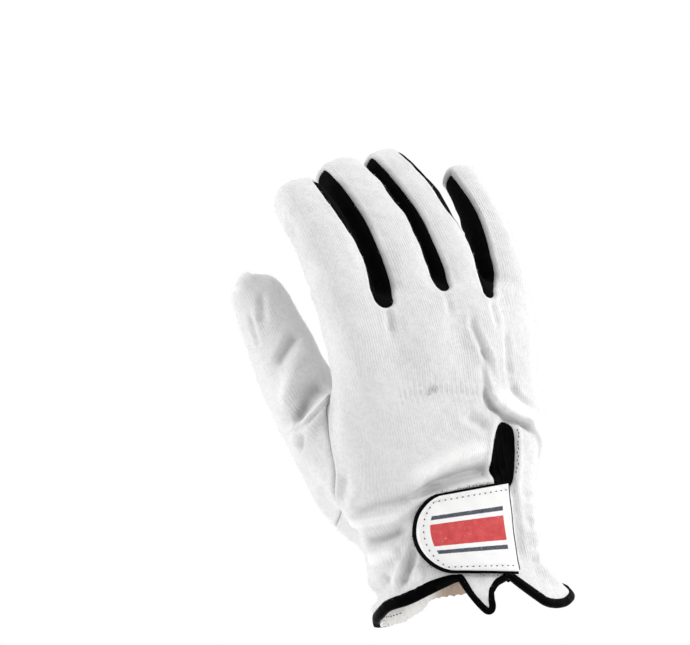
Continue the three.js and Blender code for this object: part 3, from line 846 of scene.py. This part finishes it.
def cotton():
    g = new_material("white_cotton_knit")
    height, painted_shading = knit_height(g, 1.05, 0.85), g.value("painted_shading")
    show = g.ramp(g.noise(55, 3), 0.35, 0.65, 0.35, 1.0)
    tone = g.mix(g.ramp((0.75 - height) * show, 0.05, 0.7), (0.765, 0.763, 0.762), (0.70, 0.698, 0.70))
    tone = g.mix(g.ramp(g.noise(620, 4, 0.75), 0.42, 0.66, 0.0, 0.7), tone, (0.66, 0.658, 0.662))
    # Painted shade: the cloth turns grey in the folds' valleys and creases. Painted highlight: it turns
    # whiter on their ridges.
    tone = g.mix(g.ramp(painted_shading, 0.0, 1.3, 0.0, 0.74), tone, (0.42, 0.418, 0.425))
    tone = g.mix(g.ramp(painted_shading, -0.8, 0.0, 0.85, 0.0), tone, (0.9, 0.898, 0.895))
    tone = g.mix(g.value("seam") * 0.35, tone, (0.45, 0.45, 0.45))
    fluff = g.noise(1500, 2, 0.7) * 0.6 + g.noise(330, 3, 0.6) * 0.9
    g.bump(height * (show * 0.7) + fluff, 0.00022)
    return g.finish(tone, g.patches(70, 0.9, 1.0), 0.1, 0.08)


def black_knit():
    g = new_material("black_cotton_knit")
    height = knit_height(g, 0.9, 0.7)
    tone = g.mix(g.ramp(height, 0.2, 0.8), (0.0015, 0.0015, 0.0018), (0.004, 0.004, 0.0045))
    tone = g.mix(g.ramp(g.noise(900, 4, 0.7), 0.6, 0.78) * 0.25, tone, (0.015, 0.015, 0.016))
    g.bump(height + g.noise(1200), 0.00018)
    return g.finish(tone, g.patches(200, 0.85, 1.0), 0.0, 0.04)


def insert_cloth():
    g = new_material("black_insert_cloth")
    creases = g.ramp(((g.value("across") + g.noise(90) * 3.0) * 2.1).sine(), 0.2, 1.0)
    # Painted sheen: the black turns faintly brown along the creases, in patches, as their sheen.
    wear_and_sheen = creases * g.ramp(g.noise(160, 3), 0.4, 0.7)
    tone = g.mix(wear_and_sheen, (0.0006, 0.0006, 0.0006), (0.003, 0.0015, 0.0012))
    g.bump(creases + g.noise(1300) * 0.15, 0.0003)
    return g.finish(tone, g.patches(240, 0.45, 0.7), 0.0, 0.02)


def binding_cloth():
    g = new_material("black_binding_cloth")
    twill = ((g.value("along") + g.value("across") * 0.8) * 11.0).sine()
    tone = g.mix(g.ramp(g.noise(500, 3), 0.4, 0.75), (0.0008, 0.0008, 0.001), (0.002, 0.002, 0.0025))
    g.bump(twill * 0.12 + g.noise(170, 2, 0.4), 0.0004)
    return g.finish(tone, g.patches(260, 0.3, 0.42), 0.0, 0.018)


def tab_cloth():
    """Label cloth with a plain striped print that runs the length of the tab."""
    g = new_material("printed_tab_cloth")
    across, along = g.value("across"), g.value("along")
    wear_and_sheen = g.ramp(g.noise(900, 4, 0.7), 0.62, 0.72)
    red = g.mix(g.ramp(g.noise(400, 3), 0.3, 0.7), (0.60, 0.045, 0.05), (0.68, 0.075, 0.075))
    grey = g.mix(g.ramp(g.noise(1100, 3, 0.7), 0.3, 0.75), (0.035, 0.043, 0.055), (0.10, 0.115, 0.14))
    tone = g.mix(g.ramp(g.noise(60, 3), 0.35, 0.7), (0.96, 0.958, 0.952), (0.93, 0.927, 0.92))
    wobble = along + (g.noise(700) - 0.5) * 0.25
    length = g.ramp(across, 4.9, 5.2) * g.ramp(across, 39.2, 39.5, 1.0, 0.0)
    soft = 0.08
    for low, high, colour in ((13.2, 23.4, red), (9.4, 11.2, grey), (25.4, 27.2, grey)):
        on = g.ramp(wobble, low - soft, low + soft) * g.ramp(wobble, high - soft, high + soft, 1.0, 0.0)
        tone = g.mix(on * length * (1.0 - wear_and_sheen * 0.35), tone, colour)
    weave = (across * 19.0).sine() * (along * 19.0).sine()
    g.bump(weave * 0.3 + g.noise(500), 0.00012)
    return g.finish(tone, g.patches(150, 0.5, 0.65), 0.05, 0.35)


def tape_cloth():
    g = new_material("cream_tape_cloth")
    along = g.value("along")
    tone = g.mix(g.ramp(g.noise(90, 3), 0.35, 0.7), (0.88, 0.865, 0.84), (0.80, 0.775, 0.74))
    # Painted shade: the tape turns dark brown towards its start, where the inside of the cuff lies in shade.
    tone = g.mix(g.ramp(along, 12, 27, 0.85, 0.0), tone, (0.30, 0.20, 0.13))
    g.bump((along * 9.0).sine() * 0.15 + g.noise(300, 3), 0.00005)
    return g.finish(tone, g.patches(200, 0.85, 1.0), 0.1, 0.15)


def thread(name, colour):
    g = new_material(name)
    tone = g.mix(g.ramp(g.noise(900), 0.3, 0.7), colour, [c * 0.7 for c in colour])
    return g.finish(tone, g.patches(500, 0.7, 0.9), 0.1, 0.2)


WHITE_KNIT = cotton()
BLACK_KNIT = black_knit()
INSERT_CLOTH = insert_cloth()
BINDING_CLOTH = binding_cloth()
TAB_CLOTH = tab_cloth()
TAPE_CLOTH = tape_cloth()
DARK_THREAD = thread("dark_thread", (0.05, 0.05, 0.055))
GREY_THREAD = thread("grey_thread", (0.28, 0.28, 0.29))
WHITE_THREAD = thread("white_thread", (0.78, 0.775, 0.77))


# The cloth of the hand
def dressed(cell, inset=0.0):
    """The whole cloth as a part, with its folds. Its flat points are those before the folds."""
    points, triangles = surface(cell, inset)
    flat = relax(points, triangles, 2)
    normals = normals_of(flat, triangles)
    places = {name: digit_place(name, flat) for name in DIGITS}
    across, along, deep = cloth_coordinates(flat, places)
    shift, painted_shading = fold_shift(flat, normals)
    hem = hem_region(flat)
    shift *= (0.25 + 0.75 * smooth_step(1.5, 5.5, hem))[:, None]
    out = joint_out(places)
    out += 0.24 * waves(flat, 16, 3) + 0.1 * waves(flat, 6, 4)
    x, y, z = flat.T
    gather, share, _, _ = to_line(flat, GATHER_LINE)
    pleats = np.sin(across * 2 * np.pi / 2.3 + 0.8 * np.sin(along * 0.3))
    out += 0.34 * faded_ends(share, 0.1) * pleats * np.exp(-gather / 6) * (y < 0)
    if not inset:
        palm_side = smooth_step(-6, 6, y)
        angle = np.radians(trunk_section(x, y, z)[1])
        gathers = np.sin(angle * 34 + 1.3 * np.sin(angle * 7))
        out += 0.4 * palm_side * gathers * np.exp(-((hem - 9) ** 2) / 60)
        out -= 0.5 * palm_side * np.exp(-((hem - 8) ** 2) / 1.6)
    under_tab = np.clip(-y, 0, 1) * window(x, -30, -26, 13, 17) * window(z, 2, 5, 39.5, 42)
    out *= 1 - under_tab
    shift *= (1 - 0.85 * under_tab)[:, None]
    points = relax(flat + shift + out[:, None] * normals, triangles, 1, 0.4)
    normals = normals_of(points, triangles)
    values = {
        "flat": flat,
        "normal": normals,
        "across": across,
        "along": along,
        "deep": deep,
        "flank": smooth_step(0.55, 0.85, np.abs(normals[:, 0])),
        "seam": np.zeros(len(points)),
        "painted_shading": painted_shading * (1 - under_tab),
    }
    return points, triangles, values


def sink_seam(part, region, rise, sink, width):
    """Rolls the cloth down into the seam at the edge of a region."""
    points, triangles, values = part
    g = np.abs(region(values["flat"]))
    t = g / width
    out = rise * bell(t - 1.8, 0.9) - sink * np.exp(-1.4 * t)
    values["seam"] = np.maximum(values["seam"], bell(g / 0.45))
    return points + out[:, None] * values["normal"], triangles, values


def add_cloth(name, node, part, material):
    points, triangles, values = with_rim(part)
    add_object(name, node, points, triangles, material, values)


def make_cloth():
    """The cloth's pieces. The hand's part and the thumb's are returned for what stands on them."""
    _, hand = cut(dressed(CELL), hem_region)
    thumb, hand = cut(hand, thumb_region)
    insert, hand = cut(hand, insert_region)
    strips = {}
    for node in STRIPS:
        strips[node], hand = cut(hand, partial(strip_region, node))
    for node, black in strips.items():
        region = partial(strip_region, node)
        black = sink_seam(black, region, 0.0, 0.75, 1.2)
        black[0][:] -= 0.25 * black[2]["normal"]
        hand = sink_seam(hand, region, 0.35, 0.9, 0.9)
        add_cloth(node.replace("fourchette", "strip"), node, black, BLACK_KNIT)
    hand = sink_seam(hand, thumb_region, 0.5, 1.5, 0.9)
    thumb = sink_seam(thumb, thumb_region, 0.15, 1.5, 0.9)
    hand = sink_seam(hand, insert_region, 0.5, 0.9, 1.0)
    inside = smooth_step(0, 3, -insert_region(insert[2]["flat"]))
    insert[0][:] -= (1.0 + 0.9 * inside)[:, None] * insert[2]["normal"]
    add_cloth("hand_cloth", "hand_shell", hand, WHITE_KNIT)
    add_cloth("thumb_cloth", "thumb_shell", thumb, WHITE_KNIT)
    add_cloth("insert_cloth", "wrist_gusset", insert, INSERT_CLOTH)
    return hand, thumb


def make_lining():
    """The cloth's inside, which shows at the cuff."""
    _, part = cut(dressed(LINING_CELL, LINING_INSET), hem_region)
    _, (points, triangles, values) = cut(part, lambda flat: insert_region(flat) - 1.5)
    triangles = triangles[:, ::-1]
    add_object("cloth_inside", "hand_shell", points, triangles, WHITE_KNIT, values)


# Bands along the hem: how far they lie inside the trunk's surface, and the tape's lift
BINDING_INSET = 0.75
FLAP_END_INSET = 1.5
TAPE_INSET = 2.9
TAPE_LIFT = 4.7


def trunk_point(angle, z, inset):
    radians = np.radians(angle)
    c, s = np.cos(radians), np.sin(radians)
    x = np.sign(c) * np.abs(c) ** (2 / TRUNK_POWER)
    y = np.sign(s) * np.abs(s) ** (2 / TRUNK_POWER)
    middle, half = trunk_width(z)
    grow = broad_fold_out(angle, z)
    return np.stack([middle + (half - inset + grow) * x, (trunk_depth(y, z) - inset + grow) * y, z], -1)


def binding_line(angle, rise=0):
    """The binding's middle line. It lies deeper where the hem climbs at the flap's end."""
    inset = BINDING_INSET + FLAP_END_INSET * window(angle, 335, 339, 352, 358)
    return trunk_point(angle, hem_height(angle) + rise, inset)


def tape_line(angle, rise=0):
    lift = TAPE_LIFT - hem_height(angle, "tall") / 2
    return trunk_point(angle, hem_height(angle) + lift + rise, TAPE_INSET)


def band_frame(line, angle):
    """Points of a band's middle line, with the directions out and up from them."""
    centre = line(angle)
    tangent = unit(line(angle + 0.7) - line(angle - 0.7))
    outward = unit(np.cross(tangent, line(angle, 1) - centre))
    return centre, outward, np.cross(outward, tangent)


def hem_band(name, node, line, start, end, steps, section, tall, material):
    """A band along a line by the hem. Section gives its outline as pairs: up, from -0.5 to
    0.5 of its height, and out, in millimetres."""
    closed = end - start == 360
    count = steps if closed else steps + 1
    angle = start + (end - start) * np.arange(count) / steps
    centre, outward, up = band_frame(line, angle)
    along = way_along(centre)
    ripple = 0.05 * np.sin(along * 1.1) + 0.03 * np.sin(along * 1.9 + 1)
    palm = window(angle, 8, 30, 160, 176) * closed
    teeth = 0.55 * palm * np.sin(along * 2 * np.pi / 3.6 + 0.9 * np.sin(along * 0.29))
    rings = []
    for u, w in section:
        ring = centre + up * (u * tall(angle) + teeth * (u < -0.3))[:, None]
        rings.append(ring + outward * (w + ripple * (w > 0))[:, None])
    points = np.stack(rings, 1).reshape(-1, 3)
    triangles = facing_out(points, skin(count, len(section), closed))
    values = {
        "along": np.repeat(along, len(section)),
        "across": np.tile([u * 5 for u, _ in section], count),
    }
    add_object(name, node, points, triangles, material, values)


def make_bands():
    fold = []
    for turn in 2 * np.pi * np.arange(14) / 14:
        c, s = math.cos(turn), math.sin(turn)
        fold.append((0.5 * math.copysign(abs(c) ** 0.75, c), 1.4 * math.copysign(abs(s) ** 0.6, s)))
    hem_band(
        "cuff_band", "cuff_binding", binding_line, 0, 360, 840, fold,
        partial(hem_height, column="tall"), BINDING_CLOTH,
    )
    hem_band(
        "inside_tape", "hem_tape", tape_line, 60, 174, 230,
        ((-0.5, -0.35), (0.5, -0.35), (0.5, 0.35), (-0.5, 0.35)),
        lambda angle: 10 + 0.5 * np.sin(angle * 0.37) + 0.35 * np.sin(angle * 1.3), TAPE_CLOTH,
    )


def tubes(name, node, lines, radius, material, sides=6):
    """Short pieces of thread: each line is its points, in millimetres."""
    turn = 2 * np.pi * np.arange(sides) / sides
    c, s = np.cos(turn)[:, None], np.sin(turn)[:, None]
    points, triangles, start = [], [], 0
    for line in lines:
        line = np.asarray(line, float)
        tangent = unit(np.gradient(line, axis=0))
        first = unit(np.cross(tangent, [0.31, 0.83, 0.47]))[:, None]
        second = np.cross(tangent[:, None], first)
        size = np.full((len(line), 1, 1), radius)
        size[[0, -1]] *= 0.55
        points.append((line[:, None] + size * (c * first + s * second)).reshape(-1, 3))
        triangles.append(start + skin(len(line), sides))
        start += len(points[-1])
    add_object(name, node, np.vstack(points), np.vstack(triangles), material)


def make_hem_threads():
    """Stitches along the tape inside the cuff, and loose ends beside them."""
    def on_tape(angle, rise, off):
        centre, outward, up = band_frame(tape_line, angle)
        return centre + rise * up - off * outward

    stitches = [on_tape(a + np.array([0, 0.8, 1.6]), -1.2, 0.45) for a in np.arange(124, 171, 3.9)]
    tubes("tape_stitches", "hem_tape", stitches, 0.26, DARK_THREAD)
    ends = []
    for angle in (158, 162, 165, 169, 172):
        walk = [on_tape(np.array(angle), RNG.uniform(0.5, 3.5) - 5, 0.5)]
        step = unit(RNG.normal(size=3))
        for _ in range(9):
            step = unit(step + 0.75 * RNG.normal(size=3) + np.array([0, -0.25, -0.1]))
            walk.append(walk[-1] + 0.42 * step)
        ends.append(walk)
    tubes("loose_ends", "hem_tape", ends, 0.13, WHITE_THREAD)


# The closing tab. Its cloth and its edges are measured on a plain rectangle.
TAB_LEFT = -28
TAB_BOTTOM = (9, 4)  # at its left and right end
TAB_TOP = (40, 40.5)
TAB_RIGHT = (13, 17)  # at its bottom and top
TAB_ROUND_DEPTH = 15
TAB_LENGTH = 44
TAB_HEIGHT = 36
TAB_CELLS = 61


def back_point(x, z, height):
    middle, half = trunk_width(z)
    share = np.abs(x - middle) / (half + height)
    depth = look_up(TRUNK, "back", z) + height
    y = -depth * np.maximum(1 - share**TRUNK_POWER, 0) ** (1 / TRUNK_POWER)
    return np.stack([x, y, np.broadcast_to(z, x.shape)], -1)


def tab_point(across, climb, margin, height):
    """A point of the tab from its shares across and up, with a margin round the tab and a
    height over the trunk."""
    bottom = TAB_BOTTOM[0] * (1 - across) + TAB_BOTTOM[1] * across - margin
    top = TAB_TOP[0] * (1 - across) + TAB_TOP[1] * across + margin
    z = bottom + (top - bottom) * climb
    rounding = TAB_ROUND_DEPTH * (1 - np.sqrt(np.maximum(1 - (0.985 * (2 * climb - 1)) ** 2, 0)))
    left = TAB_LEFT - margin + rounding
    right = TAB_RIGHT[0] * (1 - climb) + TAB_RIGHT[1] * climb
    x = left + (right - left) * across
    wave = 0.25 * np.sin(x * 0.21 + 1) * np.sin(z * 0.17) + 0.12 * np.sin(x * 0.6 + z * 0.4)
    return back_point(x, z, height + wave)


def make_plate(name, node, margin, low, high, round_edge, groove, material):
    """A sheet of the tab. Its top edge is rounded, and the groove is that of the stitches."""
    i, j = np.meshgrid(*[np.linspace(0, 1, TAB_CELLS)] * 2, indexing="ij")
    edge = np.minimum(np.minimum(i, 1 - i) * TAB_LENGTH, np.minimum(j, 1 - j) * TAB_HEIGHT)
    dip = round_edge * (1 - np.sqrt(1 - (1 - np.clip(edge / 1.6, 0, 1)) ** 2))
    top = tab_point(i, j, margin, high - dip - groove * bell((edge - 2.4) / 0.5))
    base = tab_point(i, j, margin, low)
    count = TAB_CELLS**2
    grid = np.arange(count).reshape(i.shape)
    face = halves(grid[:-1, :-1], grid[1:, :-1], grid[1:, 1:], grid[:-1, 1:])
    border = np.concatenate([grid[:, 0], grid[-1, 1:], grid[-2::-1, -1], grid[0, -2:0:-1]])
    after = np.roll(border, -1)
    rim = halves(after, border, border + count, after + count)
    values = {
        "across": np.tile(i.ravel() * TAB_LENGTH, 2),
        "along": np.tile(j.ravel() * TAB_HEIGHT, 2),
        "deep": np.zeros(2 * count),
        "flank": np.zeros(2 * count),
    }
    points = np.vstack([top.reshape(-1, 3), base.reshape(-1, 3)])
    triangles = np.vstack([face, face[:, ::-1] + count, rim])
    add_object(name, node, points, triangles, material, values)


def make_tab():
    make_plate("tab_backing", "strap_backing", 1.0, 0.9, 2.2, 0.5, 0, BLACK_KNIT)
    make_plate("tab_face", "strap_patch", 0, 2.3, 3.7, 0.9, 0.28, TAB_CLOTH)

    # Stitches and thread follow the top, the rounded end and the bottom
    inset, right_inset, count = 2.4, 1.2, 400
    left, right = inset / TAB_LENGTH, 1 - right_inset / TAB_LENGTH
    bottom, top = inset / TAB_HEIGHT, 1 - inset / TAB_HEIGHT
    legs = ((right, left, top, top), (left, left, top, bottom), (left, right, bottom, bottom))
    across = np.concatenate([np.linspace(a, b, count) for a, b, _, _ in legs])
    climb = np.concatenate([np.linspace(a, b, count) for _, _, a, b in legs])
    line = tab_point(across, climb, 0, 3.42)
    walked = way_along(line)
    stitches = []
    for s in np.arange(0.4, walked[-1] - 1, 2.65):
        at = s + np.array([0, 0.22, 0.44, 0.66])
        piece = np.stack([np.interp(at, walked, line[:, k]) for k in range(3)], -1)
        piece[1:3, 1] -= 0.12
        stitches.append(piece)
    tubes("tab_stitches", "strap_patch", stitches, 0.27, DARK_THREAD)
    # Painted shadow: a dark thread along the tab's right end stands for the shade at its edge.
    end = tab_point(np.ones(60), np.linspace(0.02, 0.98, 60), 0.15, 3.35)
    tubes("tab_end_painted_shadow", "strap_patch", [end], 0.22, DARK_THREAD)
    at_left = (walked > walked[-1] * 0.33) & (walked < walked[-1] * 0.67)
    tubes("tab_thread", "strap_patch", [line[at_left][::4]], 0.08, GREY_THREAD)


def make_tab_fibres():
    """Loose fibres round the edge of the tab's backing."""
    lines = []
    spots = [(i, 1.0) for i in RNG.uniform(0.02, 0.8, 60)] + [(0.0, j) for j in RNG.uniform(0.1, 0.9, 34)]
    spots += [(i, 0.0) for i in RNG.uniform(0.05, 0.95, 30)]
    for i, j in spots:
        root = tab_point(np.array(i), np.array(j), 1.2, 1.4 + RNG.uniform(-0.5, 0.6))
        outward = unit(root - tab_point(np.array(0.45), np.array(0.5), 0, 1.4))
        drift = unit(outward + 0.9 * RNG.normal(size=3) + np.array([0, -0.4, 0]))
        curl = unit(drift + 0.8 * RNG.normal(size=3))
        half = RNG.uniform(0.4, 1.5) * 0.5
        lines.append([root, root + drift * half, root + drift * half + curl * half])
    tubes("backing_fibres", "strap_backing", lines, 0.07, DARK_THREAD, 4)


def make_fuzz(*parts_and_shares):
    """Short fibres that stand off the cotton: narrow strips that end in a point."""
    half_width = 0.035
    blocks = []
    for (p, t, values), share in parts_and_shares:
        a, b, c = corners(p, t)
        area = np.linalg.norm(np.cross(b - a, c - a), axis=1)
        chosen = RNG.choice(len(t), int(FIBRE_COUNT * share), p=area / area.sum())
        u, v = RNG.random(len(chosen)), RNG.random(len(chosen))
        u, v = np.where(u + v > 1, 1 - u, u), np.where(u + v > 1, 1 - v, v)
        root = a[chosen] + u[:, None] * (b - a)[chosen] + v[:, None] * (c - a)[chosen]
        normal = values["normal"][t[chosen, 0]]
        loose = unit(RNG.normal(size=root.shape))
        lean = unit(normal * RNG.uniform(0.25, 1.0, len(root))[:, None] + 0.8 * loose)
        side = unit(np.cross(lean, loose + normal)) * half_width
        length = RNG.gamma(3.0, 0.22, len(root))[:, None]
        mid = root + lean * length * 0.55
        end = mid + unit(lean + 0.7 * unit(RNG.normal(size=root.shape))) * length * 0.45
        blocks.append(np.stack([root - side, root + side, mid - side, mid + side, end], 1).reshape(-1, 3))
    points = np.vstack(blocks)
    first = np.arange(len(points) // 5)[:, None] * 5
    triangles = np.vstack([first + np.array([f]) for f in ((0, 1, 3), (0, 3, 2), (2, 3, 4))])
    add_object("cotton_fibres", "hand_shell", points, triangles, WHITE_THREAD, smooth=False)


def make_seam_stitches(hand):
    """Small stitches: beside the insert, above the palm's hem, and the tack on the gather."""
    points, _, values = hand
    flat, normals = values["flat"], values["normal"]
    stitches = []
    for share in np.linspace(0.3, 0.86, 12):
        bulge = math.sqrt(max(1 - abs(2 * share - 1) ** 2.6, 0))
        x, z = INSERT_BOTTOM + share * (INSERT_TOP - INSERT_BOTTOM)
        x += INSERT_HALF_WIDTH * bulge + 1.05
        i = ((flat[:, 0] - x) ** 2 + (flat[:, 2] - z) ** 2 + 50 * (flat[:, 1] > 0)).argmin()
        p, n, along = points[i], normals[i], np.array([0.1, 0, 0.45])
        stitches.append([p + n * 0.1 - along, p + n * 0.2, p + n * 0.1 + along])
    angle, height = trunk_section(*flat.T)[1], hem_region(flat)
    for a in np.arange(14, 158, 2.6):
        i, j = ((((angle - at) * 0.6) ** 2 + (height - 8) ** 2).argmin() for at in (a, a + 1.3))
        p, q = points[i] + normals[i] * 0.12, points[j] + normals[j] * 0.12
        stitches.append([p, (p + q) / 2 + normals[i] * 0.15, q])
    tubes("seam_stitches", "hand_shell", stitches, 0.2, DARK_THREAD)
    tack = []
    for (x0, z0), (x1, z1) in pairwise(TACK):
        ends = []
        for target in ((x0, -18, z0), ((x0 + x1) / 2, -18, (z0 + z1) / 2), (x1, -18, z1)):
            i = ((points - target) ** 2).sum(1).argmin()
            ends.append(points[i] + normals[i] * 0.25)
        ends[1] += np.array([0, -0.4, 0])
        tack.append(ends)
    tubes("tack_stitches", "hand_shell", tack, 0.24, WHITE_THREAD)


# Studio: brightness of the surroundings to the sides, to the front and overhead
SIDE_LIGHT = 0.99
FRONT_LIGHT = 0.0
TOP_LIGHT = 0.45
AIM = Vector((0, 0, 0.1))


def area_light(name, place_at, power):
    light = bpy.data.lights.new(name, "AREA")
    light.shape, light.size, light.energy = "DISK", 0.3, power
    made = bpy.data.objects.new(name, light)
    made.location = place_at
    made.rotation_euler = (AIM - Vector(place_at)).to_track_quat("-Z", "Y").to_euler()
    bpy.context.scene.collection.objects.link(made)


def make_studio():
    bpy.ops.mesh.primitive_circle_add(vertices=64, radius=5, fill_type="NGON", location=(0, 0, -0.45))
    floor = bpy.context.object
    floor.name = "floor"
    floor.data.materials.append(new_material("pale_floor").finish((0.9, 0.9, 0.9), 0.7))

    area_light("left", (-1.1, 0, 0.35), 3.8)
    area_light("right", (0.95, -0.65, 0.45), 7.2)

    scene = bpy.context.scene
    scene.world = bpy.data.worlds.new("studio")
    g = Graph(scene.world)
    direction = g.node("ShaderNodeTexCoord", "Generated")

    def strength_towards(axis, middle, end):
        inputs = ((0, direction), (1, axis))
        share = g.node("ShaderNodeVectorMath", "Value", inputs, operation="DOT_PRODUCT")
        return g.ramp(share, 0.0, 1.0, middle, end, "LINEAR")

    sides = strength_towards((-0.42, -0.9, -0.1), SIDE_LIGHT, FRONT_LIGHT)
    total = sides + strength_towards((0, 0, 1), 0.0, TOP_LIGHT)
    shade = g.tree.nodes["Background"]
    g.feed(shade.inputs["Color"], (1, 1, 1))
    seen = g.node("ShaderNodeLightPath", "Is Camera Ray")
    g.feed(shade.inputs["Strength"], g.mix(seen, total, 1.0, "FLOAT"))
    scene.view_settings.view_transform = "Standard"
    scene.view_settings.look = "None"


# The photograph's camera: turn, rise and roll, distance in metres, and in pixels its focal
# length, the picture's size and the origin's place in the picture
TURN, RISE, ROLL = math.radians(25), math.radians(-5), math.radians(10)
DISTANCE = 1.2
FOCAL = 2880
PICTURE = (690, 645)
ORIGIN_AT = (468, 590)
SENSOR = 36


def make_camera():
    level = Vector((math.cos(TURN), -math.sin(TURN), 0))
    ahead = Vector((math.sin(TURN) * math.cos(RISE), math.cos(TURN) * math.cos(RISE), -math.sin(RISE)))
    upright = level.cross(ahead)
    right = level * math.cos(ROLL) - upright * math.sin(ROLL)
    up = level * math.sin(ROLL) + upright * math.cos(ROLL)
    across, down = ((at - size / 2) * DISTANCE / FOCAL for at, size in zip(ORIGIN_AT, PICTURE))
    camera = bpy.data.objects.new("camera", bpy.data.cameras.new("camera"))
    pose = Matrix((right, up, -ahead)).transposed().to_4x4()
    pose.translation = -right * across + up * down - ahead * DISTANCE
    camera.matrix_world = pose
    camera.data.sensor_width = SENSOR
    camera.data.lens = SENSOR * FOCAL / PICTURE[0]
    camera.data.clip_end = 50
    bpy.context.scene.collection.objects.link(camera)
    bpy.context.scene.camera = camera


hand_part, thumb_part = make_cloth()
make_lining()
make_bands()
make_hem_threads()
make_tab()
make_tab_fibres()
make_seam_stitches(hand_part)
make_fuzz((hand_part, 0.78), (thumb_part, 0.22))
make_studio()
make_camera()

bpy.context.view_layer.update()
